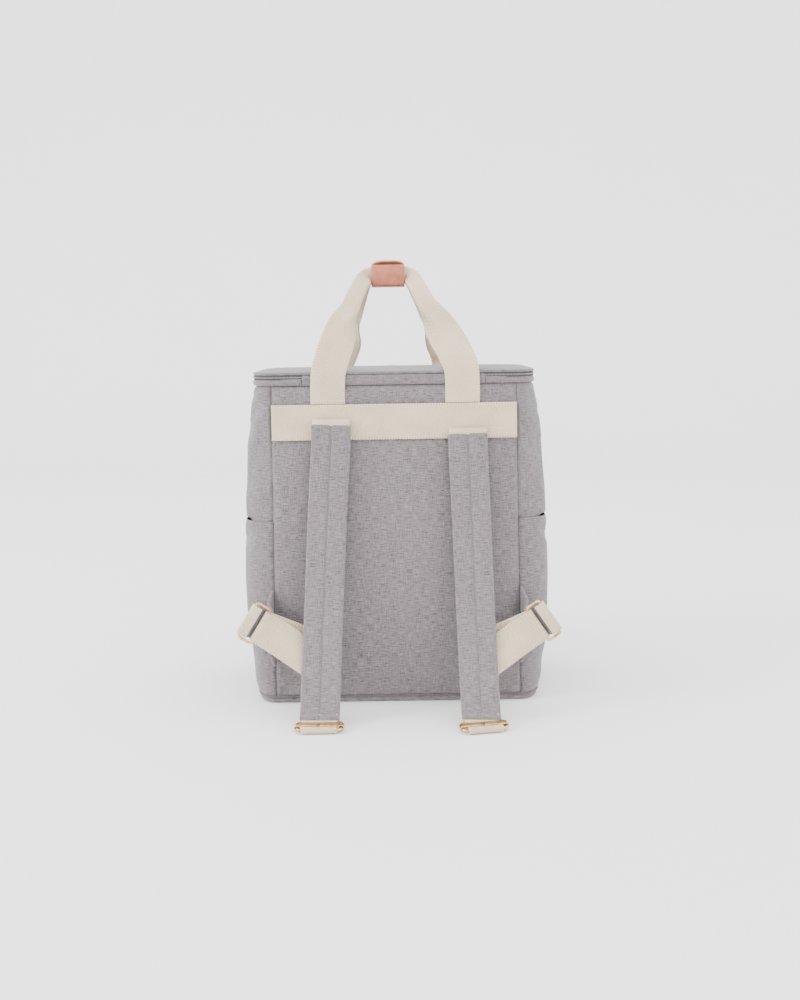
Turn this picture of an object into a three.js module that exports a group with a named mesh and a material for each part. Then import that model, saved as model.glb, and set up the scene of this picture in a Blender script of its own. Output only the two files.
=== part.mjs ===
// A soft cooler backpack: an insulated box bag with a zipped lid, two webbing carry handles held by a
// leather wrap, and two shoulder straps on the back panel. Millimetres, +Z up. The origin is the middle
// of the bag's underside, the back panel faces -Y.

import * as THREE from 'three';

// Clearances
const GAP = 0.35;

// Bag
const BAG_WIDTH = 340;
const BAG_DEPTH = 180;
const WALL_TOP = 362;
const WALL = 6;
const BASE_HEIGHT = 7.5;
const BASE_EDGE_ROLL = 2.5;
const BASE_INSET = 2;
const TOP_SEAM_SPAN = 270;
const BOTTOM_SEAM_SPAN = 280;
const CORNER_DEPTH = 30;
const PANEL_BULGE = 3;
const SIDE_BULGE = 1.5;

// Lid, rim and zip
const RIM_OVERHANG = 1;
const RIM_HEIGHT = 6.8;
const ZIP_HEIGHT = 4;
const ZIP_RECESS = 1;
const LID_EDGE_HEIGHT = 3.4;
const LID_CROWN = 4;
const HINGE_WIDTH = 202;
const SLIDER_WIDTH = 9;
const SLIDER_DEPTH = 5;
const PULL_WIDTH = 6;
const PULL_LENGTH = 24;
const PULL_THICKNESS = 2;

// Side pockets
const POCKET_HEIGHT = 204;
const POCKET_WALL = 1.6;
const POCKET_ROOM = 6;
const POCKET_PROUD = 1.2;
const HEM_STEP = 4;

// Webbing and handles
const WEBBING = 38;
const WEBBING_THICKNESS = 1.9;
const BAND_HEIGHT = 39;
const BAND_TOP = 341.5;
const FRONT_LEG_DROP = 43;
const HANDLE_RISE = 486;
const FOLD_RADIUS = 2.3;
const HANDLE_GAP = 2;

// Leather wrap
const WRAP_LENGTH = 38;
const LEATHER = 2;
const WRAP_CENTRE = -4.8;
const WRAP_FLAP = 9;
const WRAP_SAG = 3.4;
const WRAP_BEND = 4;
const WRAP_ROOM = 2.1;

// Shoulder straps
const STRAP_WIDTH = 43;
const STRAP_THICKNESS = 5;
const STRAP_CHANNEL = 0.8;
const ANCHOR_WIDTH = 41;
const ANCHOR_FOLD = 6;
const ANCHOR_RADIUS = 3.6;
const STRAP_EDGE_ROLL = 1.5;
const STRAP_LANDING = 34;
const STRAP_LOOP = 6.5;

// Brass
const WIRE = 3;
const RING_LENGTH = 47;
const RING_SPREAD = 16;
const RING_CORNER = 2.8;
const SLIDE_LENGTH = 50;
const SLIDE_SPREAD = 15;
const SLIDE_CORNER = 3.5;
const SLIDE_TILT = 11;
const BAR_STRIP = 7;
const BAR_SHEET = 1.2;

// Side tabs
const TAB_ROOT = 88;
const TAB_ROOT_BOTTOM = 45.5;
const TAB_THICKNESS = 3;
const TAB_LOOP_WIDTH = 37;
const TAB_IN_SLOT = 0.45;
const TAB_LIFT = 0.16;

// Adjusters: where they lie behind the strap, as shares of its length, where they hang free, as shares
// of the way from the ring, and the pull of their two ends on that free run, as shares of their width.
const ADJUSTER_LIES = [0.76, 0.83, 0.89, 0.95];
const ADJUSTER_HANGS = [0.2, 0.45, 0.7];
const ADJUSTER_LEAD = 0.95;
const ADJUSTER_FALL = 0.55;
const ADJUSTER_BAGWARDS = 9;
const ADJUSTER_TIP = 0.35;

// What differs from left to right. Distances are outwards from the bag's middle, heights from the floor,
// stand is how far something stands out behind the back panel.
const SIDES = [
  {
    name: 'left', sign: -1,
    strapTop: 320, strapOut: 69, slideOut: 84.5, slideStand: 98, slideYaw: 0,
    ringOut: 156.5, ringHeight: 106.5, ringStand: 40, ringLean: 32,
  },
  {
    name: 'right', sign: 1,
    strapTop: 308.5, strapOut: 80.2, slideOut: 91.6, slideStand: 103.5, slideYaw: 11,
    ringOut: 160, ringHeight: 104.5, ringStand: 40, ringLean: 34,
  },
];

// Walls, from the base seam up: rise is a share of the wall's height, width and depth are shares of
// the bag's.
const BODY = [
  { rise: 0.00, width: 0.950, depth: 0.955 },
  { rise: 0.03, width: 0.976, depth: 0.970 },
  { rise: 0.14, width: 0.988, depth: 0.988 },
  { rise: 0.27, width: 1.000, depth: 1.000 },
  { rise: 0.39, width: 1.004, depth: 1.000 },
  { rise: 0.52, width: 0.996, depth: 1.000 },
  { rise: 0.68, width: 0.985, depth: 0.998 },
  { rise: 0.84, width: 0.955, depth: 0.990 },
  { rise: 1.00, width: 0.917, depth: 0.975 },
];

// Soft folds and dents of the gussets: round is a share of the way round from the back seam to the
// front seam, rise a share of the wall's height, reach shares of both, height in shares of the wall.
const GUSSET_FOLDS = [
  { side: 'left', round: 0.10, rise: 0.66, roundReach: 0.07, riseReach: 0.035, height: 0.45 },
  { side: 'left', round: 0.13, rise: 0.57, roundReach: 0.10, riseReach: 0.040, height: -0.35 },
  { side: 'left', round: 0.20, rise: 0.13, roundReach: 0.10, riseReach: 0.060, height: -0.35 },
  { side: 'right', round: 0.12, rise: 0.09, roundReach: 0.08, riseReach: 0.050, height: -0.50 },
  { side: 'right', round: 0.24, rise: 0.16, roundReach: 0.09, riseReach: 0.050, height: 0.30 },
];

// Shoulder strap, from its top down: rise is a share of its height over the slide, stand a share of how
// far the slide's bar stands out past the strap's top, drift a share of its sideways drift.
const STRAP_FALL = [
  { rise: 1.000, stand: 0.00, drift: 0.00 },
  { rise: 0.920, stand: 0.03, drift: 0.06 },
  { rise: 0.690, stand: 0.10, drift: 0.37 },
  { rise: 0.420, stand: 0.25, drift: 0.67 },
  { rise: 0.220, stand: 0.50, drift: 0.86 },
  { rise: 0.065, stand: 0.81, drift: 0.97 },
  { rise: 0.000, stand: 1.00, drift: 1.00 },
];

// Handles, up one leg, through the wrap and down the other leg: rise is a share of the way from the lid
// to the wrap, or, below 0, of the way down to the leg's end, x a share of half the leg span, stand a
// share of the leg's distance from the bag's middle plane, fold how far the webbing is folded in half.
const HANDLE_SPAN = 148;
const BACK_HANDLE = [
  { x: -0.981, rise: -1.00, stand: 1.00, fold: 0.00 },
  { x: -0.978, rise: -0.44, stand: 1.00, fold: 0.00 },
  { x: -0.960, rise: 0.00, stand: 1.00, fold: 0.00 },
  { x: -0.905, rise: 0.13, stand: 0.98, fold: 0.00 },
  { x: -0.820, rise: 0.30, stand: 0.92, fold: 0.02 },
  { x: -0.745, rise: 0.44, stand: 0.80, fold: 0.20 },
  { x: -0.690, rise: 0.56, stand: 0.67, fold: 0.62 },
  { x: -0.605, rise: 0.71, stand: 0.48, fold: 0.95 },
  { x: -0.525, rise: 0.835, stand: 0.32, fold: 1.00 },
  { x: -0.455, rise: 0.92, stand: 0.16, fold: 1.00 },
  { x: -0.420, rise: 0.950, stand: 0.05, fold: 1.00 },
  { x: -0.372, rise: 0.975, stand: 0.00, fold: 1.00 },
  { x: -0.060, rise: 1.00, stand: 0.00, fold: 1.00 },
  { x: 0.230, rise: 0.980, stand: 0.00, fold: 1.00 },
  { x: 0.290, rise: 0.955, stand: 0.05, fold: 1.00 },
  { x: 0.335, rise: 0.915, stand: 0.16, fold: 1.00 },
  { x: 0.450, rise: 0.76, stand: 0.38, fold: 0.95 },
  { x: 0.555, rise: 0.63, stand: 0.55, fold: 0.55 },
  { x: 0.670, rise: 0.47, stand: 0.70, fold: 0.15 },
  { x: 0.790, rise: 0.33, stand: 0.83, fold: 0.00 },
  { x: 0.920, rise: 0.17, stand: 0.95, fold: 0.00 },
  { x: 1.000, rise: 0.03, stand: 1.00, fold: 0.00 },
  { x: 1.020, rise: -0.44, stand: 1.00, fold: 0.00 },
  { x: 1.020, rise: -1.00, stand: 1.00, fold: 0.00 },
];
const FRONT_HANDLE = [
  { x: -0.955, rise: -1.00, stand: 1.00, fold: 0.00 },
  { x: -0.955, rise: -0.40, stand: 1.00, fold: 0.00 },
  { x: -0.945, rise: 0.02, stand: 1.00, fold: 0.00 },
  { x: -0.925, rise: 0.06, stand: 1.00, fold: 0.00 },
  { x: -0.875, rise: 0.13, stand: 0.96, fold: 0.00 },
  { x: -0.795, rise: 0.26, stand: 0.86, fold: 0.05 },
  { x: -0.725, rise: 0.42, stand: 0.70, fold: 0.45 },
  { x: -0.655, rise: 0.57, stand: 0.53, fold: 0.90 },
  { x: -0.570, rise: 0.73, stand: 0.37, fold: 1.00 },
  { x: -0.460, rise: 0.915, stand: 0.16, fold: 1.00 },
  { x: -0.420, rise: 0.950, stand: 0.05, fold: 1.00 },
  { x: -0.372, rise: 0.975, stand: 0.00, fold: 1.00 },
  { x: -0.060, rise: 1.00, stand: 0.00, fold: 1.00 },
  { x: 0.230, rise: 0.980, stand: 0.00, fold: 1.00 },
  { x: 0.290, rise: 0.955, stand: 0.05, fold: 1.00 },
  { x: 0.335, rise: 0.915, stand: 0.16, fold: 1.00 },
  { x: 0.480, rise: 0.73, stand: 0.37, fold: 1.00 },
  { x: 0.590, rise: 0.57, stand: 0.53, fold: 0.90 },
  { x: 0.690, rise: 0.42, stand: 0.70, fold: 0.45 },
  { x: 0.790, rise: 0.26, stand: 0.86, fold: 0.05 },
  { x: 0.870, rise: 0.13, stand: 0.96, fold: 0.00 },
  { x: 0.895, rise: 0.06, stand: 1.00, fold: 0.00 },
  { x: 0.902, rise: 0.02, stand: 1.00, fold: 0.00 },
  { x: 0.905, rise: -0.40, stand: 1.00, fold: 0.00 },
  { x: 0.905, rise: -1.00, stand: 1.00, fold: 0.00 },
];

// The rounded flap over the handles: back and up are shares of its height, reach of half the wrap.
const WRAP_TONGUE = [
  { back: 0.00, up: 0.00, reach: 1.00 },
  { back: 0.15, up: 0.30, reach: 0.94 },
  { back: 0.40, up: 0.48, reach: 0.75 },
  { back: 0.70, up: 0.58, reach: 0.45 },
];

// Shares of the lid's plan where its crown has a row
const CROWN_ROWS = [0.93, 0.75, 0.5, 0.25];

// Sizes that follow from those above
const HALF_DEPTH = BAG_DEPTH / 2;
const WALL_BOTTOM = BASE_HEIGHT + GAP;
const WALL_HEIGHT = WALL_TOP - WALL_BOTTOM;
const RIM_BOTTOM = WALL_TOP + GAP;
const ZIP_BOTTOM = RIM_BOTTOM + RIM_HEIGHT + GAP;
const LID_BOTTOM = ZIP_BOTTOM + ZIP_HEIGHT + GAP;
const LID_TOP = LID_BOTTOM + LID_EDGE_HEIGHT;
const BAND_BOTTOM = BAND_TOP - BAND_HEIGHT;
const HEM_RISE = POCKET_HEIGHT / WALL_HEIGHT;
const HEM_BLEND = HEM_STEP / WALL_HEIGHT;
const FOLD_THICKNESS = 2 * FOLD_RADIUS + WEBBING_THICKNESS;
const FOLD_DEPTH = WEBBING / 2 - FOLD_RADIUS * (Math.PI / 2 - 1) + WEBBING_THICKNESS / 2;
const WEB_BEND = WIRE / 2 + GAP + WEBBING_THICKNESS / 2;
const WEB_ROLL = WEB_BEND + WEBBING_THICKNESS / 2;

// Points and blends
const { clamp, degToRad, lerp, smoothstep } = THREE.MathUtils;
const vec = (x, y, z) => new THREE.Vector3(x, y, z);
const along = (from, ...moves) => (
  moves.reduce((sum, [dir, by]) => sum.addScaledVector(dir, by), from.clone()));
const square = (direction, axis) => (
  along(direction, [axis, -direction.dot(axis)]).setLength(direction.length()));

// A closed solid from points and triangles, with its faces turned outwards.
function solid(points, triangles) {
  const volume = triangles.reduce((sum, [a, b, c]) => (
    sum + points[a].dot(new THREE.Vector3().crossVectors(points[b], points[c]))), 0);
  const geometry = new THREE.BufferGeometry().setFromPoints(points);
  geometry.setIndex(triangles.flatMap(([a, b, c]) => (volume < 0 ? [a, c, b] : [a, b, c])));
  geometry.computeVertexNormals();
  return geometry;
}

const quad = (a, b, c, d) => [[a, b, c], [a, c, d]];

// A wall between an outer and an inner grid of points, both as columns[i][j].
function wallSolid(outer, inner) {
  const rows = outer[0].length;
  const last = outer.length - 1;
  const at = (layer, i, j) => (layer * outer.length + i) * rows + j;
  const triangles = [];
  for (let i = 0; i < last; i += 1) {
    for (let j = 0; j < rows - 1; j += 1) {
      triangles.push(...quad(at(0, i, j), at(0, i + 1, j), at(0, i + 1, j + 1), at(0, i, j + 1)));
      triangles.push(...quad(at(1, i, j), at(1, i, j + 1), at(1, i + 1, j + 1), at(1, i + 1, j)));
    }
    const top = rows - 1;
    triangles.push(...quad(at(0, i, 0), at(1, i, 0), at(1, i + 1, 0), at(0, i + 1, 0)));
    triangles.push(...quad(at(0, i, top), at(0, i + 1, top), at(1, i + 1, top), at(1, i, top)));
  }
  for (let j = 0; j < rows - 1; j += 1) {
    triangles.push(...quad(at(0, 0, j), at(0, 0, j + 1), at(1, 0, j + 1), at(1, 0, j)));
    triangles.push(...quad(at(0, last, j), at(1, last, j), at(1, last, j + 1), at(0, last, j + 1)));
  }
  return solid([...outer.flat(), ...inner.flat()], triangles);
}

// The triangles that close one end of a loft, turned with the ring or against it.
function capTriangles(ring, offset, against) {
  const normal = new THREE.Vector3();
  ring.forEach((p, k) => normal.add(new THREE.Vector3().crossVectors(p, ring[(k + 1) % ring.length])));
  normal.normalize();
  const u = square(ring[1].clone().sub(ring[0]).normalize(), normal);
  const v = new THREE.Vector3().crossVectors(normal, u);
  const flat = ring.map((p) => new THREE.Vector2(p.dot(u), p.dot(v)));
  const turn = THREE.ShapeUtils.isClockWise(flat);
  return THREE.ShapeUtils.triangulateShape(flat, []).map(([a, b, c]) => {
    const same = THREE.ShapeUtils.isClockWise([flat[a], flat[b], flat[c]]) === turn;
    return (same !== against ? [a, b, c] : [a, c, b]).map((k) => k + offset);
  });
}

// A solid through rings of points, closed at both ends or joined into a loop. The two halves of a ring
// split their quads along the same diagonal, so that the faces of a thin twisted strip never cross.
function loft(rings, looped = false) {
  const count = rings[0].length;
  const at = (i, k) => (i % rings.length) * count + (k % count);
  const triangles = [];
  for (let i = 0; i < rings.length - (looped ? 0 : 1); i += 1) {
    for (let k = 0; k < count; k += 1) {
      const [a, b, c, d] = [at(i, k), at(i, k + 1), at(i + 1, k + 1), at(i + 1, k)];
      triangles.push(...(k < count / 2 ? quad(a, b, c, d) : quad(b, c, d, a)));
    }
  }
  if (!looped) {
    triangles.push(...capTriangles(rings[0], 0, true));
    triangles.push(...capTriangles(rings.at(-1), (rings.length - 1) * count, false));
  }
  return solid(rings.flat(), triangles);
}

// A flat strip through stations, each with its middle and the vector from there to one edge, which is
// turned square to the strip's run unless it is told to stay.
function ribbon(stations, thickness, perSpan = 2, squared = true) {
  const path = new THREE.CatmullRomCurve3(stations.map((s) => s.at));
  const reach = new THREE.CatmullRomCurve3(stations.map((s) => s.across), false, 'catmullrom');
  const steps = (stations.length - 1) * perSpan;
  const rings = [];
  for (let k = 0; k <= steps; k += 1) {
    const middle = path.getPoint(k / steps);
    const run = path.getTangent(k / steps);
    const edge = squared ? square(reach.getPoint(k / steps), run) : reach.getPoint(k / steps);
    const face = new THREE.Vector3().crossVectors(run, edge).setLength(thickness / 2);
    rings.push([[1, 1], [-1, 1], [-1, -1], [1, -1]].map(([e, f]) => along(middle, [edge, e], [face, f])));
  }
  return loft(rings);
}

// A closed loop of wire: a rectangle with round corners, in the plane of two unit vectors.
function wireLoop(middle, longAxis, shortAxis, halfLong, halfShort, corner) {
  const normal = new THREE.Vector3().crossVectors(longAxis, shortAxis);
  const rings = [];
  for (const [i, [sl, ss]] of [[1, 1], [-1, 1], [-1, -1], [1, -1]].entries()) {
    for (let step = 0; step <= 3; step += 1) {
      const turn = (i + step / 3) * Math.PI / 2;
      const out = along(new THREE.Vector3(), [longAxis, Math.cos(turn)], [shortAxis, Math.sin(turn)]);
      const at = along(middle, [longAxis, sl * (halfLong - corner)], [shortAxis, ss * (halfShort - corner)],
        [out, corner]);
      rings.push(Array.from({ length: 6 }, (_, k) => {
        const around = k * Math.PI / 3;
        return along(at, [out, Math.cos(around) * WIRE / 2], [normal, Math.sin(around) * WIRE / 2]);
      }));
    }
  }
  return loft(rings, true);
}

// Half width, half depth and half the distance between the seams, at a share of the wall's height.
function bodyAt(rise) {
  const next = Math.max(1, BODY.findIndex((row) => row.rise >= rise));
  const [low, high] = [BODY[next - 1], BODY[next]];
  const blend = (rise - low.rise) / (high.rise - low.rise);
  return {
    halfWidth: lerp(low.width, high.width, blend) * BAG_WIDTH / 2,
    halfDepth: lerp(low.depth, high.depth, blend) * HALF_DEPTH,
    seam: lerp(BOTTOM_SEAM_SPAN, TOP_SEAM_SPAN, rise) / 2,
    height: lerp(WALL_BOTTOM, WALL_TOP, rise),
  };
}

const riseOf = (height) => clamp((height - WALL_BOTTOM) / WALL_HEIGHT, 0, 1);
const spread = (count) => Array.from({ length: count + 1 }, (_, i) => i / count);

// How far the back or front panel's face stands from the bag's middle plane.
function panelStand(x, rise) {
  const { halfDepth, seam } = bodyAt(rise);
  return halfDepth + PANEL_BULGE * (1 - (x / seam) ** 2) * Math.sin(Math.PI * rise);
}

// A point on a gusset, round being the share of the way from the back seam to the front seam.
const CORNER_SHARE = 0.24;
function gussetPoint(sign, round, rise, inset) {
  const { halfWidth, halfDepth, seam, height } = bodyAt(rise);
  const near = Math.min(round, 1 - round);
  const end = round < 0.5 ? -1 : 1;
  const corner = CORNER_DEPTH - inset;
  const start = seam + GAP / 2;
  if (near < CORNER_SHARE) {
    const turn = (near / CORNER_SHARE) * Math.PI / 2;
    const x = start + (halfWidth - inset - start) * Math.sin(turn);
    return vec(sign * x, end * (halfDepth - inset - corner * (1 - Math.cos(turn))), height);
  }
  const flat = (round - CORNER_SHARE) / (1 - 2 * CORNER_SHARE);
  const bulge = SIDE_BULGE * Math.sin(Math.PI * flat) * Math.sin(Math.PI * rise);
  return vec(sign * (halfWidth - inset + bulge), lerp(-1, 1, flat) * (halfDepth - inset - corner), height);
}

// How roomy a pocket is at a place: nothing at its seams and foot, all of it at the side and the hem.
function pocketEase(round, rise) {
  const near = Math.min(round, 1 - round);
  return smoothstep(near, CORNER_SHARE * 0.3, CORNER_SHARE) * smoothstep(rise, 0, HEM_RISE * 0.5);
}

function foldAt(sideName, round, rise) {
  return GUSSET_FOLDS.filter((fold) => fold.side === sideName).reduce((sum, fold) => {
    const away = ((round - fold.round) / fold.roundReach) ** 2 + ((rise - fold.rise) / fold.riseReach) ** 2;
    return sum + fold.height * WALL * Math.exp(-away);
  }, 0);
}

const ROUND_STEPS = [0, 0.06, 0.12, 0.18, 0.24, 0.37, 0.5, 0.63, 0.76, 0.82, 0.88, 0.94, 1];

const EXTRA_RISES = [0.08, 0.76];
const RISES = [...BODY.map((row) => row.rise), ...EXTRA_RISES, HEM_RISE, HEM_RISE + HEM_BLEND]
  .sort((a, b) => a - b);

function gusset(side) {
  const insetAt = (round, rise) => (rise > HEM_RISE ? 0
    : POCKET_WALL + GAP + POCKET_ROOM * pocketEase(round, rise));
  const grid = (extra, folded) => ROUND_STEPS.map((round) => RISES.map((rise) => {
    const fold = folded && rise > HEM_RISE ? foldAt(side.name, round, rise) : 0;
    return gussetPoint(side.sign, round, rise, insetAt(round, rise) + extra - fold);
  }));
  return wallSolid(grid(0, true), grid(WALL, false));
}

function pocket(side) {
  const rises = RISES.filter((rise) => rise <= HEM_RISE);
  const grid = (extra) => ROUND_STEPS.map((round) => rises.map((rise) => {
    const proud = POCKET_PROUD * pocketEase(round, rise);
    const fold = Math.min(foldAt(side.name, round, rise), 0) * smoothstep(HEM_RISE - rise, 0, HEM_RISE / 2);
    const room = clamp(-fold, 0, POCKET_ROOM * pocketEase(round, rise));
    return gussetPoint(side.sign, round, rise, extra - proud + room);
  }));
  return wallSolid(grid(0), grid(POCKET_WALL));
}

function panel(end) {
  const grid = (inset) => spread(10).map((share) => BODY.map(({ rise }) => {
    const { seam, height } = bodyAt(rise);
    const x = lerp(-1, 1, share) * (seam - GAP / 2);
    return vec(x, end * (panelStand(x, rise) - inset), height);
  }));
  return wallSolid(grid(0), grid(WALL));
}

// The bag's outline seen from above, from the hinge's right end round by the front to its left end;
// a whole outline goes on along the hinge.
function planOutline(rise, inset, height, whole) {
  const { halfDepth } = bodyAt(rise);
  const y = halfDepth - inset;
  const right = ROUND_STEPS.map((round) => gussetPoint(1, round, rise, inset).setZ(height));
  const left = [...ROUND_STEPS].reverse().map((round) => gussetPoint(-1, round, rise, inset).setZ(height));
  const front = [0.5, 0, -0.5].map((share) => vec(share * TOP_SEAM_SPAN / 2, y, height));
  const back = whole ? [-0.5, 0, 0.5].map((share) => vec(share * HINGE_WIDTH / 2, -y, height)) : [];
  return [vec(HINGE_WIDTH / 2, -y, height), ...right, ...front, ...left, vec(-HINGE_WIDTH / 2, -y, height),
    ...back];
}

function basePanel() {
  const levels = [
    { height: 0, inset: BASE_INSET + BASE_EDGE_ROLL },
    { height: BASE_EDGE_ROLL * 0.3, inset: BASE_INSET + BASE_EDGE_ROLL * 0.3 },
    { height: BASE_EDGE_ROLL, inset: BASE_INSET },
    { height: BASE_HEIGHT, inset: BASE_INSET / 2 },
  ];
  return loft(levels.map(({ height, inset }) => planOutline(0, inset, height, true)));
}

// The stack over the walls: an open ring of the given height, set in from the rim's face.
function ringStack(bottom, height, inset, thickness) {
  const face = inset - RIM_OVERHANG;
  const loop = (depth, z) => planOutline(1, face + depth, z, false);
  const grid = (depth) => {
    const [low, high] = [loop(depth, bottom), loop(depth, bottom + height)];
    return low.map((point, i) => [point, high[i]]);
  };
  return wallSolid(grid(0), grid(thickness));
}

function hingeBand() {
  const y = bodyAt(1).halfDepth + RIM_OVERHANG;
  const grid = (inset) => spread(4).map((share) => [RIM_BOTTOM, ZIP_BOTTOM + ZIP_HEIGHT].map((height) => (
    vec(lerp(-1, 1, share) * (HINGE_WIDTH / 2 - GAP), inset - y, height))));
  return wallSolid(grid(0), grid(WALL));
}

function lidPanel() {
  const roll = LID_EDGE_HEIGHT / 4;
  const edge = (inset, height) => planOutline(1, inset - RIM_OVERHANG, height, true);
  const crown = CROWN_ROWS.map((share) => edge(roll, 0).map((point) => (
    vec(point.x * share, point.y * share, LID_TOP + LID_CROWN * (1 - share ** 2)))));
  return loft([edge(roll, LID_BOTTOM), edge(0, LID_BOTTOM + roll), edge(0, LID_TOP - roll),
    edge(roll, LID_TOP), ...crown]);
}

function webbingBand() {
  const grid = (stand) => spread(10).map((share) => [BAND_BOTTOM, BAND_TOP].map((height) => {
    const rise = riseOf(height);
    const x = lerp(-1, 1, share) * (bodyAt(rise).seam - GAP);
    return vec(x, -(panelStand(x, rise) + stand), height);
  }));
  return wallSolid(grid(GAP + WEBBING_THICKNESS), grid(GAP));
}

// A hidden slider at the front, with its pull hanging over the rim.
function zipSlider() {
  const top = ZIP_BOTTOM + ZIP_HEIGHT;
  const [wide, narrow] = [SLIDER_WIDTH / 2, PULL_WIDTH / 2];
  const shape = new THREE.Shape();
  shape.moveTo(-wide, top);
  shape.lineTo(-wide, top - SLIDER_DEPTH);
  shape.lineTo(-narrow, top - SLIDER_DEPTH);
  shape.lineTo(-narrow, top - PULL_LENGTH);
  shape.absarc(0, top - PULL_LENGTH, narrow, Math.PI, 2 * Math.PI, false);
  shape.lineTo(narrow, top - SLIDER_DEPTH);
  shape.lineTo(wide, top - SLIDER_DEPTH);
  shape.lineTo(wide, top);
  const geometry = new THREE.ExtrudeGeometry(shape, { depth: PULL_THICKNESS, bevelEnabled: false,
    curveSegments: 6 });
  geometry.rotateX(Math.PI / 2);
  geometry.translate(0, panelStand(0, 1) + RIM_OVERHANG + GAP + PULL_THICKNESS, 0);
  return geometry;
}

// A strip's cross-section, folded about its middle with its inner half behind: pairs of a distance
// across the strip and one towards its face.
function foldedSection(fold) {
  const bend = FOLD_RADIUS * Math.PI / 2;
  const stations = [-WEBBING / 2, -bend, -bend / 2, 0, bend / 2, bend, WEBBING / 2];
  const heading = (s) => -fold * Math.PI * clamp((s + bend) / (2 * bend), 0, 1);
  const middle = [[0, 0]];
  for (let k = 1; k < stations.length; k += 1) {
    const turn = (heading(stations[k]) + heading(stations[k - 1])) / 2;
    const length = stations[k] - stations[k - 1];
    const [a, f] = middle[k - 1];
    middle.push([a + length * Math.cos(turn), f + length * Math.sin(turn)]);
  }
  const side = (reach) => middle.map(([a, f], k) => {
    const turn = heading(stations[k]);
    return [a - reach * Math.sin(turn), f + reach * Math.cos(turn)];
  });
  const ring = [...side(WEBBING_THICKNESS / 2), ...side(-WEBBING_THICKNESS / 2).reverse()];
  const shift = [0, 1].map((axis) => {
    const values = ring.map((point) => point[axis]);
    return (Math.max(...values) + Math.min(...values)) / 2;
  });
  return ring.map(([a, f]) => [a - shift[0], f - shift[1]]);
}

const LEG_STAND = bodyAt(1).halfDepth + RIM_OVERHANG + GAP + WEBBING_THICKNESS / 2 + PANEL_BULGE / 8;
const PINCH_STAND = (HANDLE_GAP + FOLD_THICKNESS) / 2;

// A handle over the back panel (end -1) or the front panel (end 1).
function handle(table, end, legBottom, perSpan = 2) {
  const places = table.map(({ x, rise, stand }) => vec(
    x * HANDLE_SPAN / 2,
    end * lerp(PINCH_STAND, LEG_STAND, stand),
    rise < 0 ? lerp(LID_TOP, legBottom, -rise) : lerp(LID_TOP, HANDLE_RISE, rise),
  ));
  const path = new THREE.CatmullRomCurve3(places);
  const steps = (table.length - 1) * perSpan;
  const rings = spread(steps).map((t) => {
    const row = Math.min(Math.floor(t * (table.length - 1)), table.length - 2);
    const fold = lerp(table[row].fold, table[row + 1].fold, t * (table.length - 1) - row);
    const middle = path.getPoint(t);
    middle.y = end * Math.max(end * middle.y, PINCH_STAND);
    const run = path.getTangent(t);
    const face = square(vec(0, end, 0), run).normalize();
    const across = new THREE.Vector3().crossVectors(run, face).multiplyScalar(-end);
    return foldedSection(fold).map(([a, f]) => along(middle, [across, a], [face, f]));
  });
  return loft(rings);
}

// The leather round both folded handles: up the back it ends in a rounded flap that leans over them.
function handleWrap() {
  const bundle = PINCH_STAND + FOLD_THICKNESS / 2 + WRAP_ROOM + LEATHER / 2;
  const bottom = HANDLE_RISE - FOLD_DEPTH / 2 - WRAP_SAG - GAP - LEATHER / 2;
  const top = HANDLE_RISE + FOLD_DEPTH / 2;
  const place = (y, z, reach = 1) => ({
    at: vec(WRAP_CENTRE, y, z),
    across: vec(reach * WRAP_LENGTH / 2, 0, 0),
  });
  const corner = (end) => bendAround(
    vec(WRAP_CENTRE, end * (bundle - WRAP_BEND), bottom + WRAP_BEND),
    vec(0, end, 0), vec(0, 0, -1), WRAP_BEND, 0, 90, 2, place(0, 0).across,
  );
  return ribbon([
    place(-bundle, top - LEATHER),
    place(-bundle, HANDLE_RISE),
    ...corner(-1),
    ...corner(1).reverse(),
    place(bundle, HANDLE_RISE),
    ...WRAP_TONGUE.map(({ back, up, reach }) => (
      place(bundle - WRAP_FLAP * back, top + WRAP_FLAP * up, reach))),
  ], LEATHER);
}

// Places shared by the parts of one side's harness
function harness(side) {
  const yaw = degToRad(side.slideYaw);
  const tilt = degToRad(SLIDE_TILT);
  const out = vec(side.sign * Math.cos(yaw), Math.sin(yaw), 0);
  const inward = vec(-side.sign * Math.sin(yaw), Math.cos(yaw), 0);
  const rise = vec(0, 0, 1);
  const slideRun = inward.clone().multiplyScalar(Math.cos(tilt)).addScaledVector(rise, Math.sin(tilt));
  const nearBar = vec(side.sign * side.slideOut, -(HALF_DEPTH + side.slideStand), WEB_ROLL + 2 * GAP);
  const farBar = along(nearBar, [slideRun, SLIDE_SPREAD]);
  const landing = degToRad(STRAP_LANDING);
  const strapEnd = along(farBar, [inward, STRAP_LOOP * Math.sin(landing)],
    [rise, STRAP_LOOP * Math.cos(landing)]);
  const bandBack = panelStand(side.strapOut - ANCHOR_WIDTH / 2, riseOf(BAND_BOTTOM)) + GAP;
  const anchorBack = bandBack + GAP + WEBBING_THICKNESS * 1.5;
  const strapStart = vec(side.sign * side.strapOut, -(anchorBack + 2 * ANCHOR_RADIUS), side.strapTop);
  const lean = degToRad(side.ringLean);
  const ringLong = vec(side.sign * Math.sin(lean), 0, -Math.cos(lean));
  const ringShort = vec(-side.sign * Math.cos(lean), 0, -Math.sin(lean));
  const ringMiddle = vec(side.sign * side.ringOut, -(HALF_DEPTH + side.ringStand), side.ringHeight);
  const places = STRAP_FALL.map((row) => vec(
    lerp(strapStart.x, strapEnd.x, row.drift),
    lerp(strapStart.y, strapEnd.y, row.stand),
    lerp(strapEnd.z, strapStart.z, row.rise),
  ));
  const strapPath = new THREE.CatmullRomCurve3(places);
  return { ...side, out, inward, rise, slideRun, nearBar, farBar, strapEnd, strapStart, anchorBack, ringLong,
    ringShort, ringMiddle, strapPath };
}

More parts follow.
